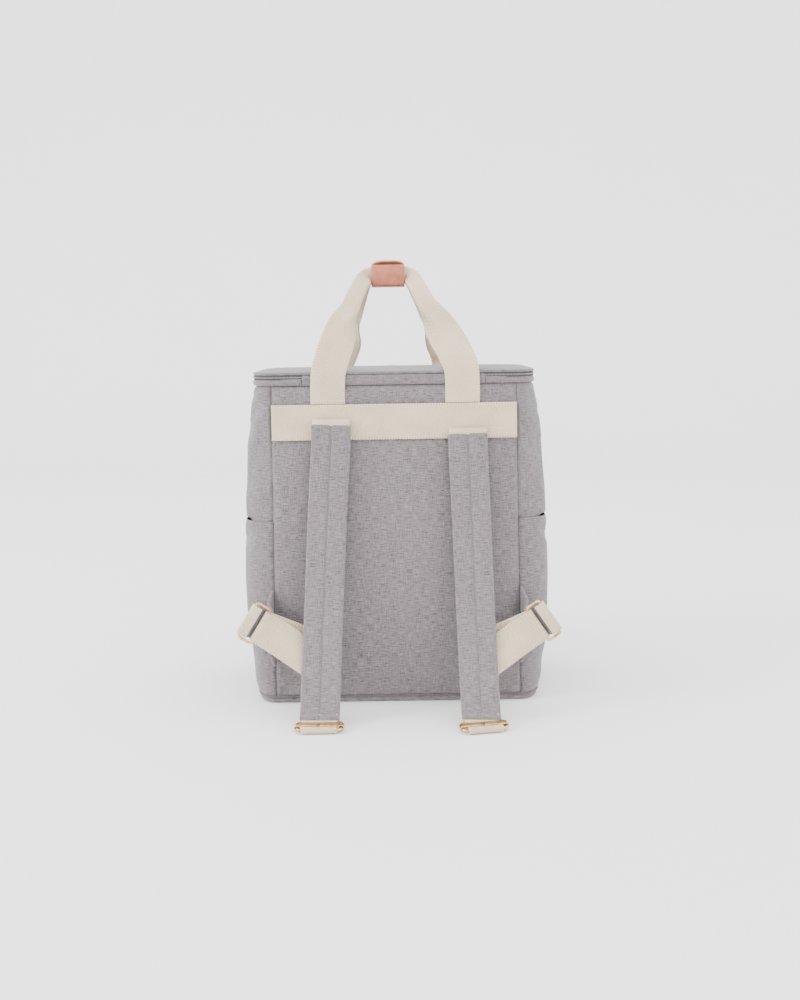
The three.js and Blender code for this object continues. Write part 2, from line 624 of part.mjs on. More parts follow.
// The strap's middle, its way down, its sideways and its face, t of the way down.
function strapFrame(h, t) {
  const run = h.strapPath.getTangent(t);
  const across = square(vec(h.sign, 0, 0).lerp(h.out, t), run).normalize();
  const face = new THREE.Vector3().crossVectors(run, across).multiplyScalar(h.sign);
  return { middle: h.strapPath.getPoint(t), run, across, face };
}

function shoulderStrap(h) {
  const [w, t] = [STRAP_WIDTH / 2, STRAP_THICKNESS / 2];
  const roll = STRAP_EDGE_ROLL;
  const section = [
    [-w, 0], [roll - w, t], [-roll, t], [0, t - STRAP_CHANNEL], [roll, t], [w - roll, t],
    [w, 0], [w - roll, -t], [0, -t], [roll - w, -t],
  ];
  return loft(spread((STRAP_FALL.length - 1) * 3).map((share) => {
    const { middle, across, face } = strapFrame(h, share);
    return section.map(([a, f]) => along(middle, [across, a], [face, f]));
  }));
}

// A bend of webbing round a bar: points on a circle from one angle to another, in the plane of two
// unit vectors.
function bendAround(bar, first, second, radius, from, to, steps, across) {
  return spread(steps).map((share) => {
    const turn = degToRad(lerp(from, to, share));
    return { at: along(bar, [first, Math.cos(turn) * radius], [second, Math.sin(turn) * radius]), across };
  });
}

function strapAnchor(h) {
  const across = vec(ANCHOR_WIDTH / 2, 0, 0);
  const foldTop = h.strapTop + ANCHOR_FOLD - ANCHOR_RADIUS - WEBBING_THICKNESS / 2;
  const centre = vec(h.strapStart.x, -(h.anchorBack + ANCHOR_RADIUS), foldTop);
  const low = vec(h.strapStart.x, -h.anchorBack, BAND_BOTTOM + HEM_STEP / 2);
  return ribbon([{ at: low, across }, { at: low.clone().setZ((low.z + foldTop) / 2), across },
    ...bendAround(centre, vec(0, 1, 0), vec(0, 0, 1), ANCHOR_RADIUS, 0, 180, 4, across)], WEBBING_THICKNESS);
}

function strapEndLoop(h) {
  const across = h.out.clone().multiplyScalar(WEBBING / 2);
  const up = along(h.strapEnd, [h.farBar, -1]).normalize();
  const level = new THREE.Vector3().crossVectors(up, h.out).multiplyScalar(h.sign);
  const clear = 4 * GAP + Math.abs(across.dot(strapFrame(h, 1).run));
  const tops = [-1, 1].map((sideways) => ({
    at: along(h.strapEnd, [up, -clear], [level, sideways * WEB_BEND]), across,
  }));
  return ribbon([tops[1], ...bendAround(h.farBar, level, up, WEB_BEND, 0, -180, 4, across), tops[0]],
    WEBBING_THICKNESS);
}

function slideFrame(h) {
  return wireLoop(along(h.nearBar, [h.slideRun, SLIDE_SPREAD / 2]), h.out, h.slideRun,
    (SLIDE_LENGTH - WIRE) / 2, SLIDE_SPREAD / 2, SLIDE_CORNER);
}

// The slide's sheet bar lies on the frame and curls round its two short sides.
function slideBar(h) {
  const middle = along(h.nearBar, [h.slideRun, SLIDE_SPREAD / 2]);
  const normal = new THREE.Vector3().crossVectors(h.out, h.slideRun).multiplyScalar(h.sign);
  const reach = (SLIDE_LENGTH - WIRE) / 2;
  const radius = WIRE / 2 + GAP + BAR_SHEET / 2;
  const across = h.slideRun.clone().multiplyScalar(BAR_STRIP / 2);
  const curl = (side) => bendAround(along(middle, [h.out, side * reach]), h.out, normal, radius,
    90, 90 - side * 230, 5, across);
  return ribbon([...curl(-1).reverse(), ...curl(1)], BAR_SHEET);
}

function tabRing(h) {
  return wireLoop(h.ringMiddle, h.ringLong, h.ringShort, (RING_LENGTH - WIRE) / 2, RING_SPREAD / 2,
    RING_CORNER);
}

// Grey cloth from the back seam to the ring's outer bar, passing behind its inner bar.
function sideTab(h) {
  const behind = WEB_ROLL + GAP + TAB_THICKNESS / 2;
  const rootMiddle = TAB_ROOT_BOTTOM + TAB_ROOT / 2;
  const { seam, halfDepth } = bodyAt(riseOf(rootMiddle));
  const root = vec(h.sign * (seam + TAB_THICKNESS / 2), -(halfDepth + 3 * GAP), rootMiddle);
  const tip = along(h.ringMiddle, [h.ringShort, -RING_SPREAD / 4]);
  const under = along(h.ringMiddle, [h.ringShort, RING_SPREAD / 2 + WEB_ROLL], [vec(0, 1, 0), behind + 2]);
  const slot = along(tip, [h.ringShort, RING_SPREAD * TAB_IN_SLOT], [vec(0, 1, 0), behind]);
  const lift = along(tip, [h.ringShort, RING_SPREAD * TAB_LIFT], [vec(0, 1, 0), GAP]);
  const tipAcross = h.ringLong.clone().multiplyScalar(TAB_LOOP_WIDTH / 2);
  const rootAcross = vec(0, 0, -TAB_ROOT / 2);
  const blend = (share) => rootAcross.clone().lerp(tipAcross, share);
  return ribbon([
    { at: root, across: rootAcross },
    { at: root.clone().lerp(under, 0.5), across: blend(0.55) },
    { at: under, across: blend(0.95) },
    { at: slot, across: tipAcross },
    { at: lift, across: tipAcross },
    { at: tip, across: tipAcross },
  ], TAB_THICKNESS, 2, false);
}

function tabLoop(h) {
  const across = h.ringLong.clone().multiplyScalar(TAB_LOOP_WIDTH / 2);
  const bar = along(h.ringMiddle, [h.ringShort, -RING_SPREAD / 2]);
  const radius = Math.max(WEB_BEND, TAB_THICKNESS / 2 + GAP + WEBBING_THICKNESS / 2) + GAP / 2;
  const end = (sideways, share) => ({
    at: along(bar, [h.ringShort, RING_SPREAD * share], [vec(0, 1, 0), sideways * radius]), across,
  });
  const outward = h.ringShort.clone().negate();
  const bend = bendAround(bar, vec(0, -1, 0), outward, radius, 0, 180, 4, across);
  return ribbon([end(-1, 0.5), ...bend, end(1, 0.2)], WEBBING_THICKNESS);
}

// The adjuster webbing: from the slide up behind the strap, round the ring's inner bar and back down
// to a roll round the slide's near bar.
function adjuster(h) {
  const half = WEBBING / 2;
  const bar = along(h.ringMiddle, [h.ringShort, RING_SPREAD / 2]);
  const ringAcross = h.ringLong.clone().multiplyScalar(half - GAP);
  const layers = WEBBING_THICKNESS + 3 * GAP;
  const behind = STRAP_THICKNESS / 2 + 4 * GAP + layers;
  const lies = ADJUSTER_LIES.map((t) => {
    const { middle, run, across, face } = strapFrame(h, t);
    return { at: along(middle, [face, -behind]), across: across.multiplyScalar(half), run };
  });
  const [high] = lies;
  const lead = along(bar, [h.ringShort, WEBBING * ADJUSTER_LEAD], [vec(0, 1, 0), STRAP_THICKNESS]);
  const fall = along(high.at, [high.run, -WEBBING * ADJUSTER_FALL], [vec(0, 1, 0), ADJUSTER_BAGWARDS]);
  const free = new THREE.CubicBezierCurve3(bar, lead, fall, high.at);
  const tipping = vec(0, -half * ADJUSTER_TIP, 0);
  const hangs = ADJUSTER_HANGS.map((t) => {
    const run = free.getTangent(t);
    const across = ringAcross.clone().lerp(high.across, t).addScaledVector(tipping, Math.sin(Math.PI * t));
    return { at: free.getPoint(t), across: square(across, run).setLength(half), run };
  });
  const layer = (sideways) => [...hangs, ...lies].map(({ at, across, run }, i) => {
    const apart = lerp(2 * WEB_BEND, layers, Math.min(1, i / hangs.length)) / 2;
    const normal = new THREE.Vector3().crossVectors(run, across).normalize();
    return { at: along(at, [normal, Math.sign(normal.y) * sideways * apart]), across };
  });
  const across = h.out.clone().multiplyScalar(half);
  const floor = WEBBING_THICKNESS / 2 + 2 * GAP;
  const onFloor = (depth, height) => ({
    at: along(h.nearBar, [h.inward, depth]).setZ(height), across,
  });
  const roll = bendAround(h.nearBar, h.inward.clone().negate(), h.rise, WEB_BEND, -80, 165, 6, across);
  const outward = h.ringShort.clone().negate();
  const back = bendAround(bar, vec(0, 1, 0), outward, WEB_BEND, 180, 0, 4, ringAcross);
  return ribbon([
    ...layer(-1).reverse(),
    ...back,
    ...layer(1),
    onFloor(SLIDE_SPREAD + STRAP_LOOP, floor + GAP),
    onFloor(SLIDE_SPREAD * 0.9, floor),
    onFloor(SLIDE_SPREAD * 0.4, floor),
    ...roll,
  ], WEBBING_THICKNESS, 2, false);
}

// Finishes
const finish = (color, roughness, metalness = 0) => (
  new THREE.MeshStandardMaterial({ color, roughness, metalness, side: THREE.DoubleSide }));
const cloth = finish('#aaa5a8', 0.95);
const shade = finish('#8d888b', 0.95);
const cotton = finish('#efe6d6', 0.9);
const leather = finish('#9d5337', 0.45);
const brass = finish('#b98a45', 0.32, 1);
const zipTape = finish('#4b4749', 0.7);

const group = new THREE.Group();

function add(name, geometry, material) {
  const mesh = new THREE.Mesh(geometry, material);
  mesh.name = name;
  group.add(mesh);
}

add('base_panel', basePanel(), shade);
add('back_panel', panel(-1), cloth);
add('front_panel', panel(1), cloth);
add('rim_band', ringStack(RIM_BOTTOM, RIM_HEIGHT, 0, WALL), cloth);
add('zip_chain', ringStack(ZIP_BOTTOM, ZIP_HEIGHT, ZIP_RECESS, WALL / 2), zipTape);
add('zip_slider', zipSlider(), brass);
add('hinge_band', hingeBand(), cloth);
add('lid_panel', lidPanel(), cloth);
add('webbing_band', webbingBand(), cotton);
add('back_handle', handle(BACK_HANDLE, -1, BAND_TOP + GAP), cotton);
add('front_handle', handle(FRONT_HANDLE, 1, LID_TOP - FRONT_LEG_DROP), cotton);
add('handle_wrap', handleWrap(), leather);

for (const side of SIDES) {
  const h = harness(side);
  add(`${side.name}_gusset`, gusset(side), cloth);
  add(`${side.name}_pocket`, pocket(side), cloth);
  add(`${side.name}_strap`, shoulderStrap(h), cloth);
  add(`${side.name}_strap_anchor`, strapAnchor(h), cotton);
  add(`${side.name}_strap_end`, strapEndLoop(h), cotton);
  add(`${side.name}_slide_frame`, slideFrame(h), brass);
  add(`${side.name}_slide_bar`, slideBar(h), brass);
  add(`${side.name}_adjuster`, adjuster(h), cotton);
  add(`${side.name}_tab`, sideTab(h), shade);
  add(`${side.name}_tab_loop`, tabLoop(h), cotton);
  add(`${side.name}_tab_ring`, tabRing(h), brass);
}

export default group;
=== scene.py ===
# %% [markdown]
# # A grey cooler backpack, seen from its harness side
# This file dresses a finished CAD model. The bag is an insulated box of heather cloth with a zipped
# lid, two cotton carry handles in a leather wrap, and two padded shoulder straps with brass fittings.
# Each CAD solid is a plain stand-in, so most pieces are built again here with more points, in the
# same places and from the same sizes, and each then takes over from its solid.

# %% Load the frame
import math

import bmesh
import bpy
import numpy as np
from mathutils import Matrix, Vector, noise
from mathutils.bvhtree import BVHTree


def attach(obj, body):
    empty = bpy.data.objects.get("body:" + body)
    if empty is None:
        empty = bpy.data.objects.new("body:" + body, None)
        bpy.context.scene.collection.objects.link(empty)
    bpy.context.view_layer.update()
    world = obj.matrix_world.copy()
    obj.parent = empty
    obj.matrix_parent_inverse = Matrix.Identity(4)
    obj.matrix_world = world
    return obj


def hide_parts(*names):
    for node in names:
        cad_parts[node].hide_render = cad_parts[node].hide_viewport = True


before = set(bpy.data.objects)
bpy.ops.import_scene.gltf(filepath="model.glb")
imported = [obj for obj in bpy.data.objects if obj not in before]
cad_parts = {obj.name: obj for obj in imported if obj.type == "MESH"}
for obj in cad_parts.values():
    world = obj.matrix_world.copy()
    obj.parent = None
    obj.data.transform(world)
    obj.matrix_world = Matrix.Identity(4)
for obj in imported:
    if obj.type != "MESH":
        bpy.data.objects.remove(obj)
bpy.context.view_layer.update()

# %% [markdown]
# ## The bag's outline
# The real bag is a soft box: widest a little over its foot, narrower at the lid, with big round
# corners. A table of shares up the wall, blended smoothly, gives the width and depth at any height,
# so that panels, pockets, rim and lid all agree. All sizes are in millimetres until a mesh is made.

# %% Sizes of the bag
GAP = 0.35
WALL_BOTTOM, WALL_TOP, WALL = 7.85, 362.0, 6.0
WALL_HEIGHT = WALL_TOP - WALL_BOTTOM
HALF_WIDTH, HALF_DEPTH = 170.0, 90.0
CORNER_DEPTH, CORNER_SHARE = 30.0, 0.24
PANEL_BULGE, SIDE_BULGE = 3.0, 1.5
RISES = [0, 0.03, 0.14, 0.27, 0.39, 0.52, 0.68, 0.84, 1]
WIDTHS = [0.950, 0.976, 0.988, 1.000, 1.004, 0.996, 0.985, 0.955, 0.917]
DEPTHS = [0.955, 0.970, 0.988, 1.000, 1.000, 1.000, 0.998, 0.990, 0.975]


def body_at(rise):
    """Half width, half depth, half the seam distance and the height, at a share of the wall."""
    rise = np.asarray(rise, float)
    taps = [rise + d for d in (-0.02, 0.0, 0.02)]
    half_width = np.mean([np.interp(t, RISES, WIDTHS) for t in taps], axis=0) * HALF_WIDTH
    half_depth = np.mean([np.interp(t, RISES, DEPTHS) for t in taps], axis=0) * HALF_DEPTH
    return half_width, half_depth, 140 - 5 * rise, WALL_BOTTOM + WALL_HEIGHT * rise


def rise_of(height):
    return np.clip((np.asarray(height, float) - WALL_BOTTOM) / WALL_HEIGHT, 0, 1)


def panel_stand(x, rise):
    """How far the back or front panel stands from the bag's middle plane."""
    _, half_depth, seam, _ = body_at(rise)
    return half_depth + PANEL_BULGE * (1 - (x / seam) ** 2) * np.sin(np.pi * rise)


def gusset_point(sign, round_, rise, inset):
    """A place on a side: round_ goes from the back seam to the front seam."""
    half_width, half_depth, seam, height = body_at(rise)
    near = np.minimum(round_, 1 - round_)
    end = np.where(round_ < 0.5, -1.0, 1.0)
    corner = CORNER_DEPTH - inset
    start = seam + GAP / 2
    turn = np.clip(near / CORNER_SHARE, 0, 1) * np.pi / 2
    flat = np.clip((round_ - CORNER_SHARE) / (1 - 2 * CORNER_SHARE), 0, 1)
    bulge = SIDE_BULGE * np.sin(np.pi * flat) * np.sin(np.pi * rise)
    bent = near < CORNER_SHARE
    x = np.where(bent, start + (half_width - inset - start) * np.sin(turn), half_width - inset + bulge)
    y = np.where(bent, end * (half_depth - inset - corner * (1 - np.cos(turn))),
                 (2 * flat - 1) * (half_depth - inset - corner))
    return np.stack([sign * x, y, height + 0 * x], axis=-1)


print("mouth", round(2 * float(body_at(1)[0])), "mm wide,", round(2 * float(body_at(1)[1])), "mm deep")

# %% [markdown]
# ## Two ways to make a mesh
# Nearly everything here is either a sheet (a grid of points with a wall behind it) or a sweep (one
# cross-section carried along a path). Both write a UV map called Cloth in real metres, which lets one
# weave keep its true size on every piece, and turn with a strap where the strap turns.

# %% Sheets and sweeps
def made_object(name, points, faces, uvs, finish, smooth=True):
    """A mesh object from millimetre points, with one UV pair per point."""
    mesh = bpy.data.meshes.new(name)
    mesh.from_pydata((np.asarray(points, float) / 1000).tolist(), [], faces)
    layer = mesh.uv_layers.new(name="Cloth")
    corners = np.zeros(len(mesh.loops), int)
    mesh.loops.foreach_get("vertex_index", corners)
    layer.data.foreach_set("uv", (np.asarray(uvs, float)[corners] / 1000).astype(np.float32).ravel())
    mesh.materials.append(finish)
    mesh.polygons.foreach_set("use_smooth", [smooth] * len(mesh.polygons))
    piece = bpy.data.objects.new(name, mesh)
    bpy.context.scene.collection.objects.link(piece)
    return piece


def turn_outwards(piece):
    """Makes every face of a closed mesh point out."""
    mesh = bmesh.new()
    mesh.from_mesh(piece.data)
    bmesh.ops.recalc_face_normals(mesh, faces=mesh.faces)
    mesh.to_mesh(piece.data)
    mesh.free()
    return piece


def grid_normals(points):
    across = np.gradient(points, axis=0)
    up = np.gradient(points, axis=1)
    normal = np.cross(across, up)
    return normal / np.maximum(np.linalg.norm(normal, axis=-1, keepdims=True), 1e-9)


def walked(points, axis):
    """The distance walked along one axis of a grid, as the mean of its rows."""
    steps = np.linalg.norm(np.diff(points, axis=axis), axis=-1).mean(axis=1 - axis)
    return np.concatenate([[0], np.cumsum(steps)])


def sheet(name, points, wall, finish, away):
    """A closed wall behind a grid of points; away is a vector field or point that faces outwards."""
    normal = grid_normals(points)
    if np.sum(normal * away) < 0:
        points, normal = points[::-1], -normal[::-1]
        normal = grid_normals(points)
    n, m = points.shape[:2]
    u, v = np.meshgrid(walked(points, 0), points[..., 2].mean(axis=0) if np.ptp(points[..., 2]) > 20
                       else walked(points, 1), indexing="ij")
    u = u - u.mean()
    at = lambda layer, i, j: (layer * n + i) * m + j
    faces = []
    for i in range(n - 1):
        for j in range(m - 1):
            faces.append((at(0, i, j), at(0, i + 1, j), at(0, i + 1, j + 1), at(0, i, j + 1)))
            faces.append((at(1, i, j), at(1, i, j + 1), at(1, i + 1, j + 1), at(1, i + 1, j)))
    for i in range(n - 1):
        faces.append((at(0, i, 0), at(1, i, 0), at(1, i + 1, 0), at(0, i + 1, 0)))
        faces.append((at(0, i, m - 1), at(0, i + 1, m - 1), at(1, i + 1, m - 1), at(1, i, m - 1)))
    for j in range(m - 1):
        faces.append((at(0, 0, j), at(0, 0, j + 1), at(1, 0, j + 1), at(1, 0, j)))
        faces.append((at(0, n - 1, j), at(1, n - 1, j), at(1, n - 1, j + 1), at(0, n - 1, j + 1)))
    both = np.concatenate([points.reshape(-1, 3), (points - normal * wall).reshape(-1, 3)])
    uv = np.stack([u.ravel(), v.ravel()], axis=-1)
    return turn_outwards(made_object(name, both, faces, np.concatenate([uv, uv]), finish))


def sweep(name, middles, across, face, section, finish, looped=False, side=None):
    """Carries a ring of (across, face) distances along a path; side gives the U of each ring point.
    section is one ring, or one ring for each station."""
    middles, across, face = (np.asarray(a, float) for a in (middles, across, face))
    section = np.asarray(section, float)
    if section.ndim == 2:
        section = np.repeat(section[None], len(middles), axis=0)
    n, m = section.shape[:2]
    points = (middles[:, None] + across[:, None] * section[..., :1] + face[:, None] * section[..., 1:])
    length = np.concatenate([[0], np.cumsum(np.linalg.norm(np.diff(middles, axis=0), axis=1))])
    u = section[..., 0] if side is None else np.broadcast_to(side, (n, m))
    uv = np.stack([u, np.broadcast_to(length[:, None], (n, m))], axis=-1).reshape(-1, 2)
    faces = []
    for i in range(n if looped else n - 1):
        for k in range(m):
            a, b = i * m, ((i + 1) % n) * m
            faces.append((a + k, a + (k + 1) % m, b + (k + 1) % m, b + k))
    if not looped:
        faces.append(tuple(range(m)))
        faces.append(tuple(reversed(range((n - 1) * m, n * m))))
    return turn_outwards(made_object(name, points.reshape(-1, 3), faces, uv, finish))


def strip_ring(half, thickness, steps=6, rim=0.0):
    """The cross-section of a woven strip: rounded sides, and thicker selvedges if rim is given."""
    top = [(a, thickness / 2 + rim * max(0, 1 - (half - abs(a)) / 2.5))
           for a in np.linspace(half - 0.5, -half + 0.5, steps)]
    lip = thickness * 0.3
    return ([(half, -lip), (half, lip)] + top + [(-half, lip), (-half, -lip)]
            + [(a, -f) for a, f in reversed(top)])


print("mesh helpers ready")

# %% [markdown]
# ## Smooth paths
# Straps and handles follow a few given stations. A Catmull-Rom curve passes through every
# station, which a plain Bezier would not, so the strip stays where the CAD solid is. This is the
# centripetal kind, which doesn't overshoot where stations lie close together.

# %% Curves through stations
def unit(v):
    v = np.asarray(v, float)
    return v / np.maximum(np.linalg.norm(v, axis=-1, keepdims=True), 1e-9)


def squared(direction, axis):
    """The direction turned square to an axis, with its length kept."""
    direction, axis = np.asarray(direction, float), np.asarray(axis, float)
    size = np.linalg.norm(direction, axis=-1, keepdims=True)
    return unit(direction - np.sum(direction * axis, axis=-1, keepdims=True) * axis) * size


def curve_through(stations, shares, centripetal=True):
    """Points of a Catmull-Rom curve at shares of the way through its stations."""
    p = np.asarray(stations, float)
    p = np.concatenate([[2 * p[0] - p[1]], p, [2 * p[-1] - p[-2]]])
    out = []
    for share in np.atleast_1d(shares):
        place = min(max(share, 0), 1) * (len(p) - 3)
        i = min(int(place), len(p) - 4)
        t = place - i
        a, b, c, d = p[i:i + 4]
        if centripetal:
            da, db, dc = (max(float(np.sum((y - x) ** 2)) ** 0.25, 1e-4) for x, y in ((a, b), (b, c), (c, d)))
            m0 = ((b - a) / da - (c - a) / (da + db) + (c - b) / db) * db
            m1 = ((c - b) / db - (d - b) / (db + dc) + (d - c) / dc) * db
        else:
            m0, m1 = (c - a) / 2, (d - b) / 2
        out.append(b * (2 * t ** 3 - 3 * t ** 2 + 1) + m0 * (t ** 3 - 2 * t ** 2 + t)
                   + c * (3 * t ** 2 - 2 * t ** 3) + m1 * (t ** 3 - t ** 2))
    return np.array(out)


def tangents(stations, shares):
    step = 1e-3
    return unit(curve_through(stations, np.asarray(shares) + step)
                - curve_through(stations, np.asarray(shares) - step))


def ribbon(name, stations, thickness, finish, per_span=8, square=True, rim=0.0, steps=6):
    """A flat strip through (middle, half-width vector) stations."""
    shares = np.linspace(0, 1, (len(stations) - 1) * per_span + 1)
    inner = np.clip(shares, 0, 1)
    middles = curve_through([s[0] for s in stations], inner)
    edge = curve_through([s[1] for s in stations], inner, centripetal=False)
    run = np.gradient(middles, axis=0)
    run = unit(run)
    edge = squared(edge, run) if square else edge
    halves = np.linalg.norm(edge, axis=1)
    face = unit(np.cross(run, edge))
    rings = [strip_ring(half, thickness, steps, rim) for half in halves]
    return sweep(name, middles, unit(edge), face, rings, finish)


print("curve helpers ready")

# %% [markdown]
# ## Finishes
# A finish is a small graph of nodes on a Principled BSDF. Patterns read the Cloth UV map, in metres,
# so threads keep their size. Each finish has three scales: broad unevenness that one sees across a
# room, streaks or threads that one sees from near, and a fine bump that only catches the light.

# %% A helper for node graphs
def start_finish(name, roughness, metallic=0.0):
    """A new material with its Principled BSDF, and a function that adds a node."""
    finish = bpy.data.materials.new(name)
    finish.use_nodes = True
    tree = finish.node_tree
    shader = tree.nodes["Principled BSDF"]
    shader.inputs["Roughness"].default_value = roughness
    shader.inputs["Metallic"].default_value = metallic

    def add(kind, inputs=None, **settings):
        node = tree.nodes.new("ShaderNode" + kind)
        for key, value in settings.items():
            setattr(node, key, value)
        for key, value in (inputs or {}).items():
            if isinstance(value, bpy.types.NodeSocket):
                tree.links.new(value, node.inputs[key])
            else:
                node.inputs[key].default_value = value
        return node

    return finish, tree, shader, add


def maths(add, operation, a, b=0.0, c=0.0):
    return add("Math", {0: a, 1: b, 2: c}, operation=operation).outputs[0]


def stretched_noise(add, place, scale, detail=2.0, roughness=0.5, turn=(0, 0, 0)):
    """Noise whose grain is longer one way than the other: scale is in grains per metre."""
    moved = add("Mapping", {"Vector": place, "Scale": scale, "Rotation": turn})
    grain = add("TexNoise", {"Vector": moved.outputs[0], "Scale": 1.0, "Detail": detail,
                             "Roughness": roughness})
    return grain.outputs[0]


def coloured(add, factor, dark, light, low=0.0, high=1.0):
    ramp = add("ValToRGB", {0: factor})
    ramp.color_ramp.elements[0].position, ramp.color_ramp.elements[0].color = low, (*dark, 1)
    ramp.color_ramp.elements[1].position, ramp.color_ramp.elements[1].color = high, (*light, 1)
    return ramp.outputs[0]


def bumped(add, tree, shader, height, strength, distance):
    bump = add("Bump", {"Height": height, "Strength": strength, "Distance": distance})
    tree.links.new(bump.outputs[0], shader.inputs["Normal"])


print("node helpers ready")

# %% [markdown]
# ### Heather cloth
# The grey cloth is a plain weave of two-tone yarn: from near it breaks into short dark and light
# slubs along both thread directions, and from far it reads as one soft mauve grey. Two stretched
# noises, one for each thread direction, give the slubs, and two waves give the threads for the bump.

# %% Heather cloth
def heather(name, dark, light, thread=0.0011):
    finish, tree, shader, add = start_finish(name, 0.92)
    place = add("UVMap", uv_map="Cloth").outputs[0]
    weft = stretched_noise(add, place, (110, 1150, 1), 3, 0.6)
    warp = stretched_noise(add, place, (1050, 95, 1), 3, 0.6)
    fleck = stretched_noise(add, place, (620, 700, 1), 1)
    broad = stretched_noise(add, place, (9, 7, 1), 3)
    mixed = maths(add, "MULTIPLY_ADD", weft, 0.52, maths(add, "MULTIPLY", warp, 0.30))
    mixed = maths(add, "MULTIPLY_ADD", fleck, 0.13, mixed)
    mixed = maths(add, "MULTIPLY_ADD", broad, 0.05, mixed)
    colour = coloured(add, mixed, dark, light, 0.36, 0.64)
    tree.links.new(colour, shader.inputs["Base Color"])
    apart = add("SeparateXYZ", {0: place})
    waves = [maths(add, "SINE", maths(add, "MULTIPLY", apart.outputs[k], 2 * math.pi / thread))
             for k in (0, 1)]
    threads = maths(add, "MULTIPLY", waves[0], waves[1])
    relief = maths(add, "MULTIPLY_ADD", threads, 0.35, maths(add, "MULTIPLY", mixed, 2.2))
    bumped(add, tree, shader, relief, 0.55, 0.00035)
    shader.inputs["Sheen Weight"].default_value = 0.25
    shader.inputs["Sheen Roughness"].default_value = 0.6
    shader.inputs["Specular IOR Level"].default_value = 0.15
    return finish


HEATHER = heather("heather cloth", (0.042, 0.035, 0.038), (0.235, 0.204, 0.216))
# The straps' copy of the heather is painted lighter: painted light where the straps catch more light than the
# panel.
HEATHER_STRAP_PAINTED_LIGHT = heather("heather cloth of the straps painted lighter", (0.048, 0.040, 0.044), (0.245, 0.214, 0.226))
# The piping is the same heather painted darker: painted shade in the base seam.
PIPING_PAINTED_SHADE = heather("heather piping painted darker", (0.036, 0.031, 0.033), (0.150, 0.132, 0.140))
print("finish:", HEATHER.name)

# %% [markdown]
# ### Cotton webbing
# The webbing is a heavy cream cotton twill. Fine ribs run slanting over it, and along each edge the
# weave turns back in a row of small knots. U is the distance from the strip's middle, so the edge
# rows follow every bend of the strip, whatever its path.

# %% Cotton webbing
def webbing(name, dark, light, half=0.019, lean=1.0):
    finish, tree, shader, add = start_finish(name, 0.88)
    place = add("UVMap", uv_map="Cloth").outputs[0]
    apart = add("SeparateXYZ", {0: place})
    across, along = apart.outputs[0], apart.outputs[1]
    slant = maths(add, "MULTIPLY_ADD", across, lean, along)
    rib = maths(add, "SINE", maths(add, "MULTIPLY", slant, 2 * math.pi / 0.0021))
    pick = maths(add, "SINE", maths(add, "MULTIPLY", across, 2 * math.pi / 0.0012))
    knot = maths(add, "SINE", maths(add, "MULTIPLY", along, 2 * math.pi / 0.0030))
    edge = maths(add, "GREATER_THAN", maths(add, "ABSOLUTE", across), half - 0.0024)
    inner = maths(add, "SUBTRACT", 1.0, edge)
    field = maths(add, "MULTIPLY", maths(add, "MULTIPLY_ADD", pick, 0.30, rib), inner)
    relief = maths(add, "MULTIPLY_ADD", maths(add, "MULTIPLY", knot, edge), 1.3, field)
    fuzz = stretched_noise(add, place, (900, 420, 1), 3, 0.6)
    broad = stretched_noise(add, place, (30, 18, 1), 2)
    tone = maths(add, "MULTIPLY_ADD", relief, 0.11, maths(add, "MULTIPLY", fuzz, 0.55))
    tone = maths(add, "MULTIPLY_ADD", broad, 0.40, tone)
    colour = coloured(add, tone, dark, light, 0.22, 0.62)
    tree.links.new(colour, shader.inputs["Base Color"])
    height = maths(add, "MULTIPLY_ADD", fuzz, 1.1, relief)
    bumped(add, tree, shader, height, 0.60, 0.00030)
    shader.inputs["Sheen Weight"].default_value = 0.15
    shader.inputs["Specular IOR Level"].default_value = 0.2
    return finish


COTTON = webbing("cotton webbing", (0.36, 0.27, 0.175), (0.66, 0.55, 0.40))
COTTON_BACK = webbing("cotton webbing turned", (0.36, 0.27, 0.175), (0.66, 0.55, 0.40), lean=-1.0)
print("finish:", COTTON.name)

# %% [markdown]
# ### Leather, brass, zip and thread
# The wrap is tan leather with pores and a little burnish, darker where it has creased. The fittings
# are brushed brass that has dulled unevenly. The zip is a matt polyester tape, made near-black as
# painted shade of the gap between rim and lid, with a lighter grey coil. None of these needs a
# direction of its own, so they read Object coordinates.

# %% Leather, brass, zip and thread
def leather_finish():
    finish, tree, shader, add = start_finish("tan leather", 0.48)
    place = add("TexCoord").outputs["Object"]
    pores = add("TexVoronoi", {"Vector": place, "Scale": 1300.0}, feature="DISTANCE_TO_EDGE").outputs[0]
    crease = stretched_noise(add, place, (240, 240, 240), 4, 0.6)
    broad = stretched_noise(add, place, (70, 70, 70), 3)
    tone = maths(add, "MULTIPLY_ADD", broad, 0.7, maths(add, "MULTIPLY", crease, 0.3))
    colour = coloured(add, tone, (0.245, 0.068, 0.030), (0.440, 0.150, 0.075), 0.3, 0.7)
    tree.links.new(colour, shader.inputs["Base Color"])
    tree.links.new(maths(add, "MULTIPLY_ADD", crease, 0.25, 0.34), shader.inputs["Roughness"])
    height = maths(add, "MULTIPLY_ADD", crease, 1.6, maths(add, "MINIMUM", pores, 0.3))
    bumped(add, tree, shader, height, 0.4, 0.0004)
    return finish


def brass_finish():
    finish, tree, shader, add = start_finish("dulled brass", 0.3, 1.0)
    place = add("TexCoord").outputs["Object"]
    brushed = stretched_noise(add, place, (300, 2600, 2600), 2)
    dull = stretched_noise(add, place, (160, 160, 160), 4, 0.6)
    colour = coloured(add, dull, (0.42, 0.245, 0.090), (0.78, 0.520, 0.225), 0.35, 0.6)
    tree.links.new(colour, shader.inputs["Base Color"])
    tree.links.new(maths(add, "MULTIPLY_ADD", dull, 0.35, maths(add, "MULTIPLY_ADD", brushed, 0.15, 0.1)),
                   shader.inputs["Roughness"])
    bumped(add, tree, shader, brushed, 0.15, 0.0001)
    return finish


